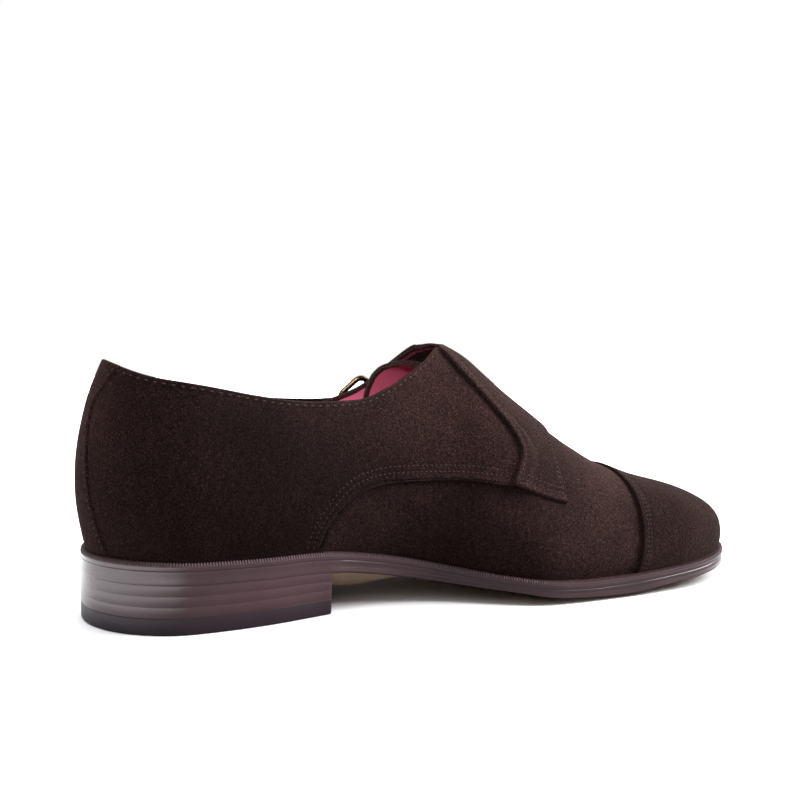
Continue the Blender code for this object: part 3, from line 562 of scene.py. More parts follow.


# How painted light and shade change the suede and the thread along the shoe: metres forward of its middle, and
# tone.
QUARTER_PAINTED_SHADE = ((-0.148, 1.25), (-0.137, 0.90), (-0.115, 0.52), (-0.085, 0.30), (-0.055, 0.38), (-0.030, 0.62),
               (-0.008, 1.06), (0.020, 1.15))
VAMP_PAINTED_SHADE = ((-0.050, 0.80), (0.020, 0.72), (0.050, 0.82), (0.080, 1.0))
THREAD_PAINTED_SHADE = ((-0.148, 0.80), (-0.085, 0.45), (-0.040, 0.48), (0.000, 1.0))
SUEDE = suede("dark brown suede", (0.0385, 0.0190, 0.0178), 1.2, QUARTER_PAINTED_SHADE)
SUEDE_VAMP = suede("vamp suede", (0.0390, 0.0200, 0.0188), 0.7, VAMP_PAINTED_SHADE)
# A darker copy of the same suede for the strap panel and the tongue: painted shade.
SUEDE_PANEL = suede("brushed suede", (0.0335, 0.0173, 0.0162), 1.0)
SUEDE_CAP = suede("rough suede", (0.0265, 0.0125, 0.0116), 2.0)
# A lighter copy of the suede for the rims and the folds: painted highlight.
SUEDE_EDGE = suede("turned suede edge", (0.0430, 0.0220, 0.0210), 1.3, QUARTER_PAINTED_SHADE)
LINING = leather("raspberry lining", (0.56, 0.105, 0.185), 0.5)
SOCK = leather("sock leather", (0.46, 0.10, 0.16), 0.55)
EDGE = edge_finish("stained sole edge", (0.092, 0.045, 0.052), 0.26, 0.16, 0.5)
RIBS = edge_finish("ribbed welt", (0.105, 0.055, 0.063), 0.50, 0.10, 0.0)
HEEL = edge_finish("burnished heel", (0.104, 0.049, 0.056), 0.24, 0.08, 0.6)
TOP_RUBBER = edge_finish("heel rubber", (0.046, 0.027, 0.035), 0.40, 0.12, 0.0)
# The sole leather's own tan, made brighter than the leather is as painted light, for the underside that sits in
# shade under the arch.
TAN = leather("natural sole leather", (0.80, 0.54, 0.36), 0.6, 500.0, 0.00015)
THREAD = leather("brown thread", (0.090, 0.046, 0.045), 0.8, 2500.0, 0.0001, THREAD_PAINTED_SHADE)
BRASS = brass("antique brass")


# ------------------------ meshes
# How far the first rows of a grid lie from a cut edge, so that the edge is round.
FINE = (0.0, 0.12, 0.28, 0.5, 0.8, 1.15, 1.6, 2.2, 3.0)
# Two rows of stitches by their insets: the dips they pull into the suede, and their threads.
DOUBLE_ROW, DOUBLE_SEWN, CAP_ROWS = (3.0, 5.5), (3.1, 5.6), (3.0, 4.7)
# About how large the laid pieces are, for grids that are close together at the cut edges.
TONGUE_LONG, CAP_LONG, QUARTER_HIGH, STRIP_WIDE, STRIP_GIRTH = 44.0, 74.0, 52.0, 18.0, 118.0
STRAP_WIDE, FORK_WIDE, TAB_WIDE = 17.0, 16.0, 12.0
pieces = {}  # the places of each laid piece and how high it stands there, for its stitches
stitches = []


def add_object(name, data):
    made = bpy.data.objects.new(name, data)
    bpy.context.scene.collection.objects.link(made)
    return made


def add_mesh(name, points, faces, skins, kinds=None, slot="suede", replaces=(), smooth=40.0):
    """An object of the shoe from points in millimetres and quads, riding on the shoe's one body."""
    mesh = bpy.data.meshes.new(name)
    points = (np.asarray(points, float) - [*MIDDLE, 0]) * MM
    mesh.vertices.add(len(points))
    mesh.vertices.foreach_set("co", points.reshape(-1))
    mesh.loops.add(faces.size)
    mesh.loops.foreach_set("vertex_index", faces.reshape(-1).astype(np.int32))
    mesh.polygons.add(len(faces))
    mesh.polygons.foreach_set("loop_start", np.arange(0, faces.size, faces.shape[1], dtype=np.int32))
    if kinds is not None:
        mesh.polygons.foreach_set("material_index", np.asarray(kinds, np.int32))
    mesh.update()
    mesh.validate()
    for skin in skins:
        mesh.materials.append(skin)
    mesh.shade_smooth()
    mesh.set_sharp_from_angle(angle=np.radians(smooth))
    made = add_object(name, mesh)
    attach(made, "root")
    if replaces:
        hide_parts(*replaces)


def grid_faces(index, keep=None):
    """The quads of a grid of point numbers."""
    quads = np.stack([index[:-1, :-1], index[1:, :-1], index[1:, 1:], index[:-1, 1:]], -1)
    return (quads if keep is None else quads[keep]).reshape(-1, 4)


def ring_numbers(count, sides):
    """The numbers of rings of points, with each ring's first point once more at its end."""
    index = np.arange(count * sides).reshape(count, sides)
    return np.concatenate([index, index[:, :1]], 1)


def slab(name, above, below, skins, keep=None, folded=None, turned=None, **facts):
    """A closed piece between two sheets of one grid. Its materials are for the outside, the inside and the rim.
    The rim's goes on over the outside where it is folded, where the lighter rim suede is a painted highlight,
    and over the inside where it is turned in."""
    flat = above.reshape(-1, 3)
    _, first, index = np.unique(np.round(flat, 2), axis=0, return_index=True, return_inverse=True)
    quads = grid_faces(index.reshape(above.shape[:2]), keep)
    quads = quads[(quads != np.roll(quads, 1, 1)).all(1) & (quads[:, 0] != quads[:, 2])]
    top, bottom = flat[first], below.reshape(-1, 3)[first]
    count = len(top)
    a, b = quads.reshape(-1), np.roll(quads, -1, 1).reshape(-1)
    rim = ~np.isin(b.astype(np.int64) * count + a, a.astype(np.int64) * count + b)
    sides = np.stack([b[rim], a[rim], a[rim] + count, b[rim] + count], -1)
    faces = np.concatenate([quads, quads[:, ::-1] + count, sides])
    kinds = np.repeat([0, 1, 2], [len(quads), len(quads), len(sides)])
    for start, flags in ((0, folded), (len(quads), turned)):
        if flags is not None:
            kinds[start:start + len(quads)][flags.reshape(-1)[first][quads].all(1)] = 2
    lean = np.cross(top[quads[:, 2]] - top[quads[:, 0]], top[quads[:, 3]] - top[quads[:, 1]])
    if (lean * (top[quads[:, 0]] - bottom[quads[:, 0]])).sum() < 0:
        faces = faces[:, ::-1]
    add_mesh(name, np.concatenate([top, bottom]), faces, skins, kinds, **facts)


def graded(length, step, end=True):
    """Shares of a length in millimetres: close together at its start, and at its end if that is an edge."""
    high = [length - d for d in reversed(FINE)] if end else [length]
    count = max(2, int(round((high[0] - FINE[-1]) / step)))
    middle = np.linspace(FINE[-1], high[0], count + 1)[1:-1]
    return np.concatenate([FINE, middle, high]) / length


def edge_distance(points, line):
    """How far each point lies from a line of points."""
    start, run = line[:-1], np.diff(line, axis=0)
    square = np.maximum((run * run).sum(-1), 1e-9)
    flat = points.reshape(-1, 3)
    found = np.empty(len(flat))
    for k in range(0, len(flat), 4000):
        here = flat[k:k + 4000, None] - start[None]
        share = np.clip((here * run).sum(-1) / square, 0, 1)
        found[k:k + 4000] = np.linalg.norm(here - share[..., None] * run, axis=-1).min(1)
    return found.reshape(points.shape[:-1])


def rounded(distance, thick, radius):
    """The height of a cut edge: it rounds over to its full thickness."""
    near = np.clip(1 - distance / radius, 0, 1)
    return thick - radius * (1 - np.sqrt(np.maximum(1 - near**2, 0)))


def valley(distance, at, depth=0.22, wide=0.55):
    """The dip that a row of stitches pulls into the suede."""
    return depth * np.exp(-(((distance - at) / wide) ** 2))


def soft_waves(place):
    """The slight unevenness of leather drawn over a last, in millimetres."""
    x, y, z = np.moveaxis(place, -1, 0)
    broad = np.sin(x / 7.3 + 1.3 * np.sin(z / 9.1)) * np.sin(z / 8.3 + y / 13.0)
    return 0.10 * broad + 0.07 * np.sin(x / 3.9 + y / 5.7 + 2.0 * np.sin(z / 6.3))


def lay(name, chart, edges, under=0.06, thick=1.25, rows=(), keep=None, skins=(SUEDE, SUEDE, SUEDE_EDGE),
        fold=(), turned=None, round_by=0.8, **facts):
    """A piece of suede laid on the upper, over a grid of (q, w). Its cut edges are lines of (q, w); rows are
    stitched insets, and fold gives each edge that is folded under and how broad the fold looks: the fold's band
    takes the lighter rim suede, a painted highlight."""
    place, normal = on_last(chart[..., 0], chart[..., 1])
    distances = [edge_distance(place, places(edge)) for edge in edges]
    distance = np.min(distances, 0)
    height = rounded(distance, thick, round_by)
    for at in rows:
        height = height - valley(distance, at)
    height = height + soft_waves(place) * np.clip(distance / 6.0, 0, 1)
    folded = np.any([distances[k] < wide for k, wide in fold], 0) if fold else None
    under = np.broadcast_to(under, place.shape[:2])
    above = place + normal * (under + height)[..., None]
    below = place + normal * under[..., None]
    inside = np.full(place.shape[:2], keep is None)
    if keep is not None:
        inside[:-1, :-1] |= keep
        inside[1:, 1:] |= keep
    pieces[name] = (place[inside], (under + height)[inside])
    slab(name, above, below, skins, keep, folded, turned, **facts)


# ------------------------ stitches
THREAD_LONG, THREAD_ROUND, THREAD_HALF = 7, 6, 0.26  # points along and round a thread, and its radius


def height_on(name, place):
    """How high a piece stands at some places, from the nearest points of its grid."""
    base, height = pieces[name]
    found = np.empty(len(place))
    for k, here in enumerate(place):
        square = ((base - here) ** 2).sum(1)
        near = np.argpartition(square, 4)[:4]
        share = 1 / (square[near] + 1e-3)
        found[k] = (height[near] * share).sum() / share.sum()
    return found


def sew(name, line, inset, pitch=2.2, long=0.68):
    """A row of stitches on a piece, along a line of (q, w) moved in by an inset."""
    if inset:
        line = offset_line(line, inset)
    place, normal = on_last(line[:, 0], line[:, 1])
    run = run_of(place)
    count = max(2, int(run[-1] / pitch))
    at = (np.arange(count) + 0.5) * run[-1] / count
    middle, up = at_run(place, run, at), at_run(normal, run, at)
    ahead = at_run(place, run, at + 0.5) - at_run(place, run, at - 0.5)
    middle = middle + up * height_on(name, middle)[:, None]
    stitches.append((middle, unit(up), unit(ahead), pitch * long / 2))


def make_stitches():
    """Every stitch as a short thread that dips into the suede at both ends."""
    rng = np.random.default_rng(7)
    points, faces, base = [], [], 0
    place = np.linspace(-1, 1, THREAD_LONG)
    swell = THREAD_HALF * (np.sqrt(np.maximum(1 - np.abs(place) ** 3, 0.0)) * 0.98 + 0.02)
    dip = 0.02 + 0.30 * place**2
    turn = 2 * np.pi * np.arange(THREAD_ROUND) / THREAD_ROUND
    thread = grid_faces(ring_numbers(THREAD_LONG, THREAD_ROUND).T)
    count = THREAD_LONG * THREAD_ROUND
    for middle, up, ahead, half in stitches:
        side = np.cross(up, ahead)
        ahead = ahead + side * rng.uniform(-0.10, 0.10, (len(ahead), 1))
        size = half * rng.uniform(0.93, 1.05, len(middle))
        core = middle[:, None] + ahead[:, None] * (size[:, None] * place)[..., None]
        core = core - up[:, None] * dip[None, :, None]
        ring = (np.cos(turn)[None, None, :, None] * side[:, None, None]
                + np.sin(turn)[None, None, :, None] * up[:, None, None])
        points.append((core[:, :, None] + ring * swell[None, :, None, None]).reshape(-1, 3))
        faces.append((thread + (base + count * np.arange(len(middle)))[:, None, None]).reshape(-1, 4))
        base += count * len(middle)
    add_mesh("stitching", np.concatenate(points), np.concatenate(faces), (THREAD,), smooth=80.0)


# ------------------------ the upper
def shell_outer(t):
    """The outer side's top line, which runs lower under the straps."""
    start = SHELL_OUTER[0][0]
    return np.where(t > start, hermite(SHELL_OUTER)(t), COLLAR_AT[OUTER](t))


def top_line():
    """The top line as places, from the heel round by the outer side, over the ridge and back."""
    near = station(np.linspace(0, q_of(THROAT), 200))
    far = station(np.linspace(0, q_of(SHELL_OUTER[-1][0]), 240))
    outer = on_last(q_of(far), 1 - shell_outer(far))[0]
    inner = on_last(q_of(near), -(1 - COLLAR_AT[INNER](near)))[0]
    ridge = np.linspace(q_of(SHELL_OUTER[-1][0]), q_of(THROAT), 20)
    return np.concatenate([outer, on_last(ridge, 0 * ridge)[0], inner[::-1]])


def make_shell():
    """The hollow upper itself: suede outside, lining inside, thinned towards its top line. Under the straps its
    outer side is cut lower, so that the tongue shows between the straps and the throat."""
    closing = q_of(SHELL_OUTER[-1][0])
    q = np.concatenate([np.linspace(0, closing, 170), np.linspace(closing, 1, 110)[1:]])
    climb = np.linspace(0, 1, 60)
    t = station(q)
    inner = -1 + climb * COLLAR_AT[INNER](t)[:, None]
    outer = 1 - climb[::-1] * shell_outer(t)[:, None]
    w = np.concatenate([inner, outer], 1)
    place, normal = on_last(q[:, None], w)
    keep = np.ones((w.shape[0] - 1, w.shape[1] - 1), bool)
    keep[:, len(climb) - 1] = False
    rim = edge_distance(place, top_line())
    wall = WALL - 0.7 * (1 - smooth(rim / 9.0))
    waves = soft_waves(place) * np.clip(rim / 6.0, 0, 1) * (np.abs(w) < 0.97)
    slab("suede_shell", place + normal * waves[..., None], place - normal * wall[..., None],
         (SUEDE_VAMP, LINING, SUEDE_EDGE), keep, turned=rim < TURNED_IN, replaces=("upper",))


def make_tongue():
    """The tongue: suede outside, lined inside, with a turned edge, sagging under the throat."""
    across = np.linspace(TONGUE_EDGE[0][0], TONGUE_EDGE[-1][0], 130)
    edge = hermite(TONGUE_EDGE)(across)
    depth = graded(TONGUE_LONG, 1.0, False)[:, None] * (TONGUE_END - edge)
    t, w = np.broadcast_arrays(edge + depth, across)
    place, normal = on_last(q_of(t), w)
    fade = 1 - smooth((t - THROAT + 8.5) / 26)
    sag = TONGUE_SAG * fade * (1 - smooth(np.abs(w) / np.where(w > 0, 0.2, 0.3)))
    under = -(WALL + TONGUE_UNDER + sag)
    thick = TONGUE_THICK + TONGUE_RIM * np.exp(-((depth / 3.0) ** 2))
    height = under + rounded(depth, thick, 1.0) - valley(depth, 3.0, 0.15)
    pieces["suede_tongue"] = (place.reshape(-1, 3), height.reshape(-1))
    # Its folded rim takes the lighter rim suede, a painted highlight.
    slab("suede_tongue", place + normal * height[..., None], place + normal * under[..., None],
         (SUEDE_PANEL, LINING, SUEDE_EDGE), folded=depth < 2.6, turned=depth < 2.0, replaces=("tongue",))
    sew("suede_tongue", np.stack([q_of(edge + 3.0), across], -1)[3:-3], 0)


def make_cap():
    across = np.linspace(-1, 1, 141)
    low = q_of(hermite(CAP_SEAM)(across))
    q = low + graded(CAP_LONG, 1.0, False)[:, None] * (1 - low)
    edge = np.stack([low, across], -1)
    chart = np.stack(np.broadcast_arrays(q, across), -1)
    lay("suede_cap", chart, [edge], rows=CAP_ROWS, thick=1.4, skins=(SUEDE_CAP, LINING, SUEDE_EDGE),
        replaces=("toe_cap",))
    for inset in CAP_ROWS:
        sew("suede_cap", edge[2:-2], -inset, 1.9)


def make_back_strip():
    top = COLLAR_AT[INNER](LOW)
    v = np.linspace(0, top, 74)
    v[-len(FINE):] = top - np.array(FINE[::-1]) / STRIP_GIRTH
    q = (2 * graded(STRIP_WIDE, 0.9) - 1) * q_of(STRIP_HALF(v))[:, None]
    follow = COLLAR_AT[INNER](station(np.abs(q))) / top  # its top edge goes on from the quarters' top line
    chart = np.stack([q, v[:, None] * follow - 1], -1)
    lay("suede_back_strip", chart, [chart[:, 0], chart[:, -1], chart[-1]], under=0.9, thick=1.15,
        replaces=("back_strip",))
    for side, inset in ((0, -1.5), (-1, 1.5)):
        sew("suede_back_strip", chart[3:-4, side], inset, 2.4)
    sew("suede_back_strip", chart[-12, 2:-2], 0, 2.4)


def quarter_lines(side, up):
    """The quarter's boundaries as runs of (q, share): along its foot and its top, up its rear and its front,
    and the part of its foot that is a cut edge."""
    front = [(t + UNDER_PANEL[side], v) for t, v in QUARTER_FRONT[side][:-1]] + [QUARTER_FRONT[side][-1]]
    foot = soft_line(QUARTER_FOOT, np.linspace(0, 1, 70))
    foot[:, 0] = q_of(foot[:, 0])
    level = np.linspace(q_of(STRIP_HALF(0.0) - STRIP_OVER), foot[0, 0], 60)
    low = np.concatenate([np.stack([level, 0 * level], -1), foot[1:]])
    crest = np.linspace(q_of(STRIP_HALF(0.62) - STRIP_OVER), q_of(front[-1][0]), len(low))
    crest = np.stack([crest, COLLAR_AT[side](station(crest))], -1)
    rise = soft_line(front, up)
    rise[:, 0] = q_of(rise[:, 0])
    rise[0], rise[-1] = low[-1], crest[-1]
    rear = up * crest[0, 1]
    rear = np.stack([q_of(STRIP_HALF(rear) - STRIP_OVER), rear], -1)
    rear[0], rear[-1] = low[0], crest[0]
    return low, crest, rear, rise, low[len(level) - 1:]


def make_quarter(name, side, node):
    """One quarter: a patch between its four boundaries, folded at its foot and sewn twice along it."""
    up = graded(QUARTER_HIGH, 1.0)
    low, crest, rear, rise, foot = quarter_lines(side, up)
    a = np.linspace(0, 1, len(low))[:, None, None]
    b = up[None, :, None]
    patch = (1 - b) * low[:, None] + b * crest[:, None] + (1 - a) * rear[None] + a * rise[None]
    patch -= (1 - a) * ((1 - b) * low[0] + b * crest[0]) + a * ((1 - b) * low[-1] + b * crest[-1])
    chart = np.stack([patch[..., 0], side * (1 - patch[..., 1])], -1)
    foot, crest = from_share(side, foot), from_share(side, crest)
    # The folded band at its foot takes the lighter rim suede, a painted highlight.
    lay(name, chart, [foot, crest], rows=DOUBLE_ROW, fold=((0, 2.7),), replaces=(node,))
    for inset in DOUBLE_SEWN:
        sew(name, foot[1:-3], -side * inset, 2.0)
    sew(name, crest[2:-3], side * 1.9, 3.2, 0.6)


# ------------------------ the strap panel, the straps and the buckles
def strap_rows(which):
    """A strap's two edges by rows, with more rows round its tip, and how far along it its control rows lie."""
    flat = np.array(STRAPS[which], float) * [1, GIRTH]
    run = run_of(flat)
    end = run[-1] + TIP_REACH
    before = run[run < end - TIP_ROUND - 2]
    tip = end - TIP_ROUND * (1 - np.sin(np.linspace(0, np.pi / 2, TIP_ROWS)))
    fine = np.concatenate([before, tip])
    beyond = np.maximum(fine - run[-1], 0)[:, None]
    middle = through(run, flat)(fine) + beyond * unit(flat[-1] - flat[-2])
    half = through(run, STRAP_HALF)(np.minimum(fine, before[-1]))
    near = np.clip((end - fine) / TIP_ROUND, 0, 1)
    half = np.where(fine > before[-1], TIP_ROUND * np.sqrt(1 - (1 - near) ** 2), half)
    square = left_of(unit(np.gradient(middle, axis=0))) * half[:, None]
    return np.stack([middle + square, middle - square], 1), run


def punch(plane, middle, radius):
    """Grid points near a circle move onto it. The cells inside are to be dropped."""
    away = plane - middle
    distance = np.linalg.norm(away, axis=-1)
    near = np.abs(distance - radius) < 0.32
    plane[near] = middle + away[near] / distance[near][:, None] * radius
    centre = (plane[:-1, :-1] + plane[1:, :-1] + plane[1:, 1:] + plane[:-1, 1:]) / 4
    return np.linalg.norm(centre - middle, axis=-1) > radius * 0.93


def between(first, second, share):
    return first * (1 - share[:, None]) + second * share[:, None]


def panel_grid():
    """The panel and its straps as one grid of flat places: its rows run on from the panel into both straps,
    and end in a round bay between them. With it come how far along the rows lie, the fork's row, how far the
    rows lie past the fork, and how far along the straps' own control rows lie."""
    straps, strap_runs = zip(*(strap_rows(which) for which in STRAPS))
    whole = np.array(PANEL, float) * [1, GIRTH]
    rows = np.concatenate([whole, np.concatenate(straps, 1)])
    step = np.linalg.norm(np.diff(rows, axis=0), axis=2).mean(1)
    run = np.concatenate([[0], np.cumsum(step)])
    fork = len(whole) - 1
    fine = []
    for k, length in enumerate(step):
        spacing = 1.0 if k < fork - 2 else 0.55
        count = max(1, int(np.ceil(length / spacing))) if k < len(rows) - TIP_ROWS else 1
        fine.append(run[k] + (run[k + 1] - run[k]) * np.arange(count) / count)
    fine = np.concatenate([*fine, run[-1:]])
    fine = np.concatenate([FINE, fine[fine > FINE[-1] + 0.4]])
    fork_row = int(np.searchsorted(fine, run[fork]))
    curve = through(run, rows)
    edges = curve(fine)
    side, middle = graded(STRAP_WIDE, 0.7), graded(FORK_WIDE, 0.8)[1:]
    bay = FORK_BAY * np.sqrt(np.maximum(1 - (2 * middle - 1) ** 2, 0))
    ease = 3.2 * FORK_BAY
    depth = bay * smooth((fine - fine[fork_row] + ease) / ease)[:, None]
    bent = curve(np.maximum(fine[:, None] - depth, 0))
    plane = np.concatenate([
        between(edges[:, 0, None], edges[:, 1, None], side),
        between(bent[:, :, 1], bent[:, :, 2], middle),
        between(edges[:, 2, None], edges[:, 3, None], side[1:]),
    ], 1)
    return plane, fine, fork_row, fine - run[fork + 1], strap_runs


def panel_over_quarter(plane):
    """How far the panel's underside is lifted where it lies over the front of the inner quarter."""
    w = plane[..., 1] / GIRTH
    line = np.array(QUARTER_FRONT[INNER], float)
    front = np.interp(1 + w, line[:, 1], line[:, 0])
    behind = 1 - smooth((plane[..., 0] - front - 2.5) / 5.0)
    return PANEL_OVER * behind * smooth((-w - 0.02) / 0.07)


def make_strap_panel():
    plane, fine, fork_row, past_fork, strap_runs = panel_grid()
    c1 = len(graded(STRAP_WIDE, 0.7)) - 1  # the last column of the upper strap, and the first of the lower one
    c2 = plane.shape[1] - 1 - c1
    keep = np.ones((plane.shape[0] - 1, plane.shape[1] - 1), bool)
    keep[fork_row:, c1:c2] = False
    for which in STRAPS:
        middle, along = strap_frame(which)
        for forward in HOLES:
            keep &= punch(plane, middle + along * forward, HOLE_RADIUS)
    lift = np.zeros(plane.shape[:2])
    for which, run, columns in zip(STRAPS, strap_runs, (slice(0, c1 + 1), slice(c2, None))):
        lift[fork_row:, columns] = through(run, STRAP_LIE[which])(past_fork[fork_row:])[:, None]
    fade = smooth((fine - fine[fork_row] + 6) / 6)[:, None]
    lift = np.maximum(lift, 0.08 + panel_over_quarter(plane) * (1 - fade))
    chart = on_chart(plane)
    edges = [chart[:, 0], chart[:, -1], chart[0], chart[fork_row:, c1], chart[fork_row:, c2],
             chart[fork_row, c1:c2 + 1]]
    rear = edge_distance(on_last(chart[..., 0], chart[..., 1])[0], places(edges[0]))
    beyond = smooth((chart[..., 1] - 0.01) / 0.08)  # past the ridge the rear edge is thicker
    rim = np.exp(-((rear / 2.8) ** 2))
    piping = (rear > 1.9) & (rear < 3.3) & (chart[..., 1] > 0.0)
    thick = 1.3 + (0.4 + 1.2 * beyond) * rim
    # The folded bands at its foot and its rear edge take the lighter rim suede, a painted highlight.
    lay("suede_strap_panel", chart, edges, lift - 0.5 * beyond * rim, thick, keep=keep, turned=~piping,
        skins=(SUEDE_PANEL, LINING, SUEDE_EDGE), fold=((2, 2.7), (0, 2.2)), round_by=1.0,
        replaces=("strap_panel",))
    sew_panel(chart, fork_row, c1, c2)


def sew_panel(chart, fork_row, c1, c2):
    """One row inside each edge of the panel and its straps, and a second one along its foot."""
    name = "suede_strap_panel"
    for inset in DOUBLE_SEWN:
        sew(name, chart[0, 2:-2], inset, 2.0)
    sew(name, chart[6:, 0], -1.9)
    sew(name, chart[6:, -1], 2.0)
    sew(name, chart[fork_row - 6:, c1], 2.0)
    sew(name, chart[fork_row - 6:, c2], -2.0)
    sew(name, chart[fork_row, c1 + 2:c2 - 2], -2.0)
    for row in BAR_ROWS:
        sew(name, chart[row, -14:-3], 0, 2.0)


def strap_frame(which):
    """The place and the direction of a strap at its buckle, in millimetres of the upper's surface."""
    line = np.array(STRAPS[which], float) * [1, GIRTH]
    return line[BUCKLE_AT], unit(line[BUCKLE_AT + 1] - line[BUCKLE_AT])


def on_strap(which, forward, sideways, lift):
    """A point by its distances from the buckle's middle, towards the strap's end and to its side."""
    middle, along = strap_frame(which)
    forward, sideways, lift = np.broadcast_arrays(*(np.asarray(v, float) for v in (forward, sideways, lift)))
    chart = on_chart(middle + forward[..., None] * along + sideways[..., None] * left_of(along))
    base, normal = on_last(chart[..., 0], chart[..., 1])
    return base + normal * lift[..., None]


def tube(path, radius, up, closed, sides, flat):
    """Rings of a bar along a path: its points, and quads. Its section is an ellipse, flat times as high as
    it is wide."""
    ahead = unit(np.roll(path, -1, 0) - np.roll(path, 1, 0) if closed else np.gradient(path, axis=0))
    side = unit(np.cross(up, ahead))
    third = np.cross(ahead, side)
    radius = np.broadcast_to(radius, len(path))[:, None, None]
    turn = 2 * np.pi * np.arange(sides) / sides
    rings = path[:, None] + radius * (np.cos(turn)[None, :, None] * side[:, None]
                                      + flat * np.sin(turn)[None, :, None] * third[:, None])
    index = ring_numbers(len(path), sides)
    if closed:
        index = np.concatenate([index, index[:1]])
    return rings.reshape(-1, 3), grid_faces(index)


def frame_path():
    """The buckle's frame as one closed run: a rectangle with round corners."""
    corners = []
    for k, (end, across) in enumerate(((1, 1), (1, -1), (-1, -1), (-1, 1))):
        angle = np.radians(90 - 90 * k - np.linspace(0, 90, 9))
        corners.append(np.stack([
            end * (FRAME_HALF_LONG - FRAME_CORNER) + FRAME_CORNER * np.cos(angle),
            across * (FRAME_HALF_WIDE - FRAME_CORNER) + FRAME_CORNER * np.sin(angle),
        ], -1))
    path = []
    for corner, after in zip(corners, corners[1:] + corners[:1]):
        path += [corner, np.linspace(corner[-1], after[0], 12)[1:-1]]
    return np.concatenate(path)


def make_buckle(which):
    """A bent rectangular frame, and the prong that is looped round its rear bar and rests on the front one."""
    path = frame_path()
    toward = (path[:, 0] + FRAME_HALF_LONG) / (2 * FRAME_HALF_LONG)
    lift = FRONT_BAR_LIFT + (REAR_BAR_LIFT - FRONT_BAR_LIFT) * toward
    up = on_strap(which, 0.0, 0.0, 1.0) - on_strap(which, 0.0, 0.0, 0.0)
    ring, ring_faces = tube(on_strap(which, path[:, 0], path[:, 1], lift), FRAME_BAR, up, True, 12, 0.8)
    way = soft_line(PRONG_WAY, np.linspace(0, 1, 40))
    share = np.linspace(0, 1, len(way))
    ends = np.sqrt(np.clip(share / 0.04, 0.02, 1) * np.clip((1 - share) / 0.02, 0.02, 1))
    thick = (0.62 + 0.30 * share) * ends
    prong, prong_faces = tube(on_strap(which, way[:, 0], 0.0, way[:, 1]), thick, up, False, 10, 0.9)
    add_mesh("brass_buckle_" + which, np.concatenate([ring, prong]),
             np.concatenate([ring_faces, prong_faces + len(ring)]), (BRASS,), slot="brass",
             replaces=("buckle_" + which,), smooth=60.0)


def make_tab(which):
    """A folded leather tab: in from the quarter, round the buckle's rear bar and back."""
    way = soft_line(TAB_WAY, np.linspace(0, 1, 60))
    across = TAB_HALF_WIDE * (2 * graded(TAB_WIDE, 1.2) - 1)
    out = left_of(unit(np.gradient(way, axis=0))) * TAB_HALF_THICK
    narrow = 1 - 0.5 * np.clip(1 - (TAB_HALF_WIDE - np.abs(across)) / 0.6, 0, 1) ** 2
    sheets = []
    for side in (1, -1):
        line = way[:, None] + side * out[:, None] * narrow[:, None]
        sheets.append(on_strap(which, line[..., 0], across, line[..., 1]))
    slab("suede_tab_" + which, *sheets, (SUEDE, SUEDE, SUEDE_EDGE), replaces=("tab_" + which,))


# ------------------------ the bottom
def sole_bottom(t):
    """The outsole's underside: it lies on the ground under the ball and lifts to the heel and to the toe."""
    free = TOP(t) - WELT_THICK - FLAT_GAP - OUTSOLE_THICK
    flat = smooth((t - (FLAT_FROM - 24)) / 24) * (1 - smooth((t - FLAT_TO) / 22))
    return np.maximum(free * (1 - flat), 0.0)


def sole_outline(pitch):
    """The sole's edge as one closed run of even steps, from the toe round by the inner side, its outward
    normals, and how far along it the points lie."""
    t = stations(700)
    inner, outer = (np.stack([t, edge_y(side, t)], -1) for side in (INNER, OUTER))
    closed = np.concatenate([inner[::-1], outer[1:-1], inner[-1:]])
    run = run_of(closed)
    count = int(run[-1] / pitch)
    at = np.arange(count) * run[-1] / count
    line = at_run(closed, run, at)
    left = left_of(unit(np.roll(line, -3, 0) - np.roll(line, 3, 0)))
    return line, left * np.sign((left * (line - line.mean(0))).sum()), at


def turned_out(points, faces):
    """The faces with their sense turned so that the body's volume is positive."""
    p = points[faces]
    volume = (p[:, 0] * np.cross(p[:, 1], p[:, 2])).sum() + (p[:, 0] * np.cross(p[:, 2], p[:, 3])).sum()
    return faces[:, ::-1] if volume < 0 else faces


def stack_loops(layers):
    """Closed loops stacked into a wall: its points, their numbers by loop, the wall's quads, and which numbers
    round a loop the quads across it join."""
    points = np.stack(layers, 1)
    count, deep = points.shape[:2]
    index = np.arange(count * deep).reshape(count, deep)
    near = np.arange(count // 2 + 1)
    far = -near % count
    web = np.stack([near[:-1], near[1:], far[1:], far[:-1]], -1)
    return points.reshape(-1, 3), index, grid_faces(np.concatenate([index, index[:1]])), web


def waist_bulge(t):
    """How far the underside bulges under the arch, in front of the heel."""
    return WAIST_BULGE * smooth((t - BREAST + 6) / 5) * (1 - smooth((t - BREAST - 8) / 38))


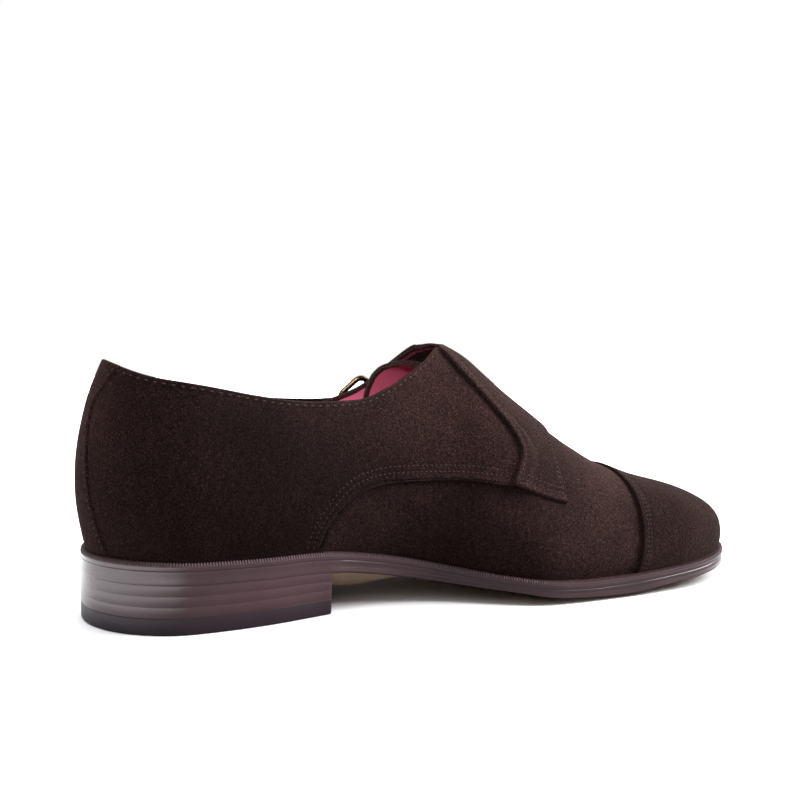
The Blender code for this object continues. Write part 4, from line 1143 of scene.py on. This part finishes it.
def make_outsole():
    line, normal, _ = sole_outline(1.2)
    heel = 1 - smooth((line[:, 0] - BREAST) / 6)
    raised = hermite(EDGE_LIFT)(line[:, 0])
    rows = [(8.0, 0.0, 0), (1.6, 0.0, 0)] + [(0.0, *row) for row in EDGE_PROFILE]
    rows += [(inset, 1.0, 0) for inset in UNDERSIDE_INSETS]
    layers = []
    for inset, down, hollow in rows:
        flat = line - normal * (inset + hollow * (1 - 0.75 * heel))[:, None]
        t = flat[:, 0]
        top = TOP(t) - WELT_THICK - 0.1
        low = sole_bottom(t) + raised * (1 - smooth(inset / 15.0)) - waist_bulge(t) * smooth(inset / 12.0)
        layers.append(np.column_stack([flat, top + (low - top) * down]))
    points, index, walls, web = stack_loops(layers)
    near, far = np.append(web[:, 0], web[-1, 1]), np.append(web[:, 3], web[-1, 2])
    share = np.linspace(0, 1, 25)[1:-1]
    sheet = between(layers[-1][near, None], layers[-1][far, None], share)
    grid = index.size + np.arange(sheet.size // 3).reshape(sheet.shape[:2])
    bottom = grid_faces(np.column_stack([index[near, -1], grid, index[far, -1]]))
    tan = len(UNDERSIDE_INSETS)
    kinds = np.tile([0] * (len(layers) - 1 - tan) + [1] * tan, len(line))
    kinds = np.concatenate([kinds, np.zeros(len(web), int), np.ones(len(bottom), int)])
    points = np.concatenate([points, sheet.reshape(-1, 3)])
    faces = turned_out(points, np.concatenate([walls, index[:, 0][web][:, ::-1], bottom]))
    add_mesh("leather_outsole", points, faces, (EDGE, TAN), kinds, slot="stained_edge", replaces=("outsole",))


def band(name, first, last, line, normal, at, ribs, **facts):
    """A strip of the welt or the rand along part of the sole's outline, ribbed on top near its edge."""
    order = np.arange(first, last + 1 if first <= last else len(line) + last + 1) % len(line)
    line, normal, at = line[order], normal[order], at[order]
    ledge = LEDGE_AT(line[:, 0])
    wave = ribs * (0.5 + 0.5 * np.cos(2 * np.pi * at / RIB_PITCH)) ** 2
    layers = []
    for inset, rise, share in WELT_PROFILE:
        inset = ledge + RING_WIDTH if inset is None else inset * np.minimum(1, ledge / 2.6)
        if rise < 0:
            inset = inset + 0.8 * share * wave
        flat = line - normal * inset[:, None]
        layers.append(np.column_stack([flat, TOP(flat[:, 0]) + rise - share * wave]))
    points = np.stack(layers, 1).reshape(-1, 3)
    count, deep = len(line), len(layers)
    index = ring_numbers(count, deep)
    walls = grid_faces(index)
    k = np.arange(deep // 2 - 1)
    across = np.stack([k, k + 1, deep - 2 - k, deep - 1 - k], -1)
    ribbed = [share > 0 for _, _, share in WELT_PROFILE]
    kinds = np.concatenate([np.tile(ribbed, count - 1), np.zeros(2 * len(k), bool)])
    faces = turned_out(points, np.concatenate([walls, index[0][across], index[-1][across][:, ::-1]]))
    add_mesh(name, points, faces, (EDGE, RIBS), kinds, slot="stained_edge", **facts)


def make_welt():
    """The rand round the heel and the welt round the rest: they meet above the heel's breast."""
    line, normal, at = sole_outline(0.2)
    number = np.arange(len(line))
    inner = np.flatnonzero((line[:, 0] <= BREAST + 0.1) & (number < len(line) // 2))[0]
    outer = np.flatnonzero((line[:, 0] >= BREAST - 0.1) & (number > len(line) // 2))[0]
    band("leather_rand", inner, outer, line, normal, at, RAND_RIBS, replaces=("heel_rand",))
    band("leather_welt", outer, inner, line, normal, at, WELT_RIBS, replaces=("welt",))


def heel_loop(inset, front, count=150, across=40):
    """The heel's outline set in from the sole's edge: round the back, and straight across at the breast."""
    sides = []
    for side in (INNER, OUTER):
        t = stations(300, BREAST + 8)
        line = np.stack([t, edge_y(side, t)], -1)
        line = line - left_of(unit(np.gradient(line, axis=0))) * inset * side
        line[0] = (inset, SWING(0.0))
        end = (front, np.interp(front, line[:, 0], line[:, 1]))
        line = np.concatenate([line[line[:, 0] < front], [end]])
        run = run_of(line)
        sides.append(at_run(line, run, run[-1] * (1 - (1 - np.linspace(0, 1, count)) ** 1.15)))
    inner, outer = sides
    share = (1 - np.cos(np.linspace(0, np.pi, across + 2)[1:-1])) / 2
    loop = np.concatenate([inner, inner[-1] + (outer[-1] - inner[-1]) * share[:, None], outer[:0:-1]])
    for _ in range(6):  # eases the two corners at the breast
        soft = (np.roll(loop, 1, 0) + np.roll(loop, -1, 0)) / 2
        corner = np.minimum(np.linalg.norm(loop - inner[-1], axis=1), np.linalg.norm(loop - outer[-1], axis=1))
        loop = between(loop, soft, np.clip(1 - corner, 0, 1))
    return loop


def heel_layer(name, insets, under, over, skin, round_by, **facts):
    """One layer of the heel: its outline set in by one inset above and another below, its edges rounded."""
    angle = np.linspace(0, np.pi / 2, 4)
    rows = [(insets[0], 3.0, over, 0.0)]
    rows += [(insets[0], round_by * (1 - np.sin(a)), over, -round_by * (1 - np.cos(a))) for a in angle]
    rows += [(insets[1], round_by * (1 - np.cos(a)), under, round_by * (1 - np.sin(a))) for a in angle]
    rows += [(insets[1], 3.0, under, 0.0)]
    layers = []
    for inset, set_in, sheet, rise in rows:
        loop = heel_loop(inset + set_in, BREAST - set_in)
        layers.append(np.column_stack([loop, sheet(loop[:, 0]) + rise]))
    points, index, walls, web = stack_loops(layers)
    faces = turned_out(points, np.concatenate([walls, index[:, 0][web][:, ::-1], index[:, -1][web]]))
    add_mesh(name, points, faces, (skin,), **facts)


def make_heel():
    """Three lifts between the outsole's underside and the top piece, and the top piece on the ground."""
    count = len(HEEL_LAYERS) - 1

    def level(k):
        return lambda t: TOP_PIECE + (sole_bottom(t) - TOP_PIECE) * (k / count)

    for k in range(count):
        insets = (HEEL_LAYERS[k + 1], HEEL_LAYERS[k])
        heel_layer(f"leather_lift_{count - k}", insets, level(k), level(k + 1), HEEL, 0.012,
                   slot="stacked_leather", replaces=(f"heel_lift_{count - k}",))
    insets = (HEEL_LAYERS[0], HEEL_LAYERS[0] + 0.1)
    heel_layer("rubber_top_piece", insets, np.zeros_like, level(0), TOP_RUBBER, 0.3, slot="rubber",
               replaces=("top_piece",))


def make_sock():
    """The sock that covers the insole, curled up a little where it meets the lining."""
    at_heel, at_toe = FEATHER_HEEL + SOCK_INSET, FEATHER_TOE + SOCK_INSET
    t = stations(160, LENGTH - at_toe, at_heel, LENGTH - at_toe)
    share = station(np.linspace(0, 1, 41), 0.0, 1.0)
    inner, outer = (edge_y(side, t, LEDGE_AT(t) + SOCK_INSET, at_heel, at_toe) for side in (INNER, OUTER))
    y = inner[:, None] + (outer - inner)[:, None] * share
    curl = 1.6 * np.abs(2 * share - 1) ** 10
    dish = -0.8 * (1 - (2 * share - 1) ** 2) * np.exp(-(((t - 44) / 34) ** 2))[:, None]
    z = TOP(t)[:, None] + SOCK_RISE + curl + dish
    above = np.stack([np.broadcast_to(t[:, None], y.shape), y, z], -1)
    slab("leather_sock", above, above - [0, 0, 1.2], (SOCK, SOCK, SOCK), slot="lining", replaces=("insole",))


# ------------------------ the set
FLOOR_SIZE = 4.0
FLOOR_SEEN = (0.93, 0.93, 0.95, 1.0)
FLOOR_BOUNCE = (0.14, 0.14, 0.15, 1.0)  # for the light that it gives back
# The open floor past the heel and past the toe is mirrored in the glossy edges: metres from this middle.
OPEN_MIDDLE, OPEN_FROM, OPEN_TO = 0.02, 0.14, 0.20
BACKDROP_WAY = (0.40, 0.92, 0.0)  # towards the bright backdrop behind the shoe
# How bright the world is towards the backdrop, and upwards.
SKY_ACROSS = ((0.0, 0.05), (0.30, 0.20), (0.60, 1.0))
SKY_UPWARD = ((0.25, 0.0), (0.9, 0.9))
SKY_SOFT, SKY_GLOSS = (0.35, 0.35, 0.35, 1.0), (2.0, 2.0, 2.0, 1.0)  # its strength for matt and glossy looks
KEY_FROM, KEY_LIGHT, KEY_WIDE = (0.80, -0.22, 0.56), 4.6, 30.0
WASH_FROM, WASH_LIGHT, WASH_WIDE = (0.12, 0.18, 1.0), 5.0, 60.0  # lights the floor alone
SNOOT_TARGET, SNOOT_FROM = (-45.0, 0.0, 88.0), (-190.0, -330.0, 110.0)
SNOOT_LIGHT, SNOOT_CONE = 9.0, 9.0
CAMERA_AZIMUTH, CAMERA_ELEVATION, CAMERA_ROLL = -23.455, 2.547, 1.72
CAMERA_TARGET, CAMERA_DISTANCE = (-19.991, -3.14, 82.019), 330.0
CAMERA_LENS = 33.88


def facing(back, place, roll=0.0):
    """A matrix whose -z looks away from back, with its x level, turned by a roll."""
    back = unit(np.array(back, float))
    right = unit(np.cross([0, 0, 1.0], back))
    up = np.cross(back, right)
    matrix = np.eye(4)
    matrix[:3, 0] = np.cos(roll) * right + np.sin(roll) * up
    matrix[:3, 1] = -np.sin(roll) * right + np.cos(roll) * up
    matrix[:3, 2], matrix[:3, 3] = back, place
    return Matrix(matrix.tolist())


def add_light(name, kind, back, target=(0.0, 0.0, 0.0), **settings):
    """A lamp that stands back from its target."""
    lamp = bpy.data.lights.new(name, kind)
    for key, value in settings.items():
        setattr(lamp, key, value)
    made = add_object(name, lamp)
    made.matrix_world = facing(back, np.add(target, back))
    return made


def make_floor():
    """A pale floor with a lamp of its own. It gives little light back to the shoe, and only its open parts show
    in glossy surfaces."""
    mesh = bpy.data.meshes.new("floor")
    corners = [(x * FLOOR_SIZE, y * FLOOR_SIZE, 0) for x, y in ((-1, -1), (1, -1), (1, 1), (-1, 1))]
    mesh.from_pydata(corners, [], [(0, 1, 2, 3)])
    floor = add_object("floor", mesh)
    floor.location.z = -0.0002
    material, tree, shader = nodes_of("pale floor")
    seen = add_node(tree, "ShaderNodeLightPath").outputs

    def sums(kind, *values):
        return add_node(tree, "ShaderNodeMath", dict(enumerate(values)), operation=kind).outputs[0]

    away = sums("ABSOLUTE", sums("SUBTRACT", coordinate(tree, "Object", "X"), OPEN_MIDDLE))
    far = {"Value": away, "From Min": OPEN_FROM, "From Max": OPEN_TO}
    open_floor = add_node(tree, "ShaderNodeMapRange", far).outputs["Result"]
    share = sums("MAXIMUM", sums("MULTIPLY", open_floor, seen["Is Glossy Ray"]), seen["Is Camera Ray"])
    tones = {"Factor": share, "A": FLOOR_BOUNCE, "B": FLOOR_SEEN}
    tone = add_node(tree, "ShaderNodeMix", tones, data_type="RGBA").outputs["Result"]
    wire(tree, shader, {"Base Color": tone, "Roughness": 0.8, "Specular IOR Level": 0.1})
    floor.data.materials.append(material)
    lit = bpy.data.collections.new("lit from above")
    lit.objects.link(floor)
    wash = add_light("wash", "SUN", WASH_FROM, energy=WASH_LIGHT, angle=np.radians(WASH_WIDE))
    wash.light_linking.receiver_collection = lit


def make_lights():
    """A white studio: bright above and behind the shoe, dim on the near side, one broad key from above the toe,
    and a narrow lamp that reaches into the collar."""
    world = bpy.data.worlds.new("studio")
    bpy.context.scene.world = world
    world.use_nodes = True
    tree = world.node_tree
    sky = tree.nodes["Background"]
    way = add_node(tree, "ShaderNodeTexCoord").outputs["Generated"]
    behind = add_node(tree, "ShaderNodeVectorMath", {0: way, 1: BACKDROP_WAY}, operation="DOT_PRODUCT")
    across = ramp(tree, behind.outputs["Value"], SKY_ACROSS)
    upward = ramp(tree, coordinate(tree, "Generated", "Z"), SKY_UPWARD)
    seen = add_node(tree, "ShaderNodeLightPath").outputs
    strengths = {"Factor": seen["Is Glossy Ray"], "A": SKY_SOFT, "B": SKY_GLOSS}
    strength = add_node(tree, "ShaderNodeMix", strengths, data_type="RGBA").outputs["Result"]
    wire(tree, sky, {"Color": mixed(tree, mixed(tree, across, strength), upward, "ADD"), "Strength": 1.0})
    backdrop = add_node(tree, "ShaderNodeBackground", {"Color": (1.0, 1.0, 1.0, 1.0), "Strength": 1.0})
    parts = {0: seen["Is Camera Ray"], 1: sky.outputs[0], 2: backdrop.outputs[0]}
    shown = add_node(tree, "ShaderNodeMixShader", parts).outputs[0]
    wire(tree, tree.nodes["World Output"], {"Surface": shown})
    add_light("key", "SUN", KEY_FROM, energy=KEY_LIGHT, angle=np.radians(KEY_WIDE))
    add_light("snoot", "SPOT", np.array(SNOOT_FROM) * MM, np.array(SNOOT_TARGET) * MM, energy=SNOOT_LIGHT,
              spot_size=np.radians(SNOOT_CONE), spot_blend=0.6, shadow_soft_size=0.03)


def make_camera():
    azimuth, elevation = np.radians(CAMERA_AZIMUTH), np.radians(CAMERA_ELEVATION)
    level = np.array([np.sin(azimuth), -np.cos(azimuth), 0.0]) * np.cos(elevation)
    back = level + [0, 0, np.sin(elevation)]
    place = (np.array(CAMERA_TARGET) + back * CAMERA_DISTANCE) * MM
    data = bpy.data.cameras.new("camera")
    data.lens = CAMERA_LENS
    data.sensor_width = 36.0
    data.clip_start = 0.01
    camera = add_object("camera", data)
    camera.matrix_world = facing(back, place, np.radians(CAMERA_ROLL))
    bpy.context.scene.camera = camera


make_shell()
make_tongue()
make_back_strip()
make_quarter("suede_quarter_medial", INNER, "quarter_medial")
make_quarter("suede_quarter_lateral", OUTER, "quarter_lateral")
make_strap_panel()
make_cap()
for which in STRAPS:
    make_buckle(which)
    make_tab(which)
make_stitches()
make_outsole()
make_welt()
make_heel()
make_sock()
make_floor()
make_lights()
make_camera()
bpy.context.scene.view_settings.view_transform = "Standard"
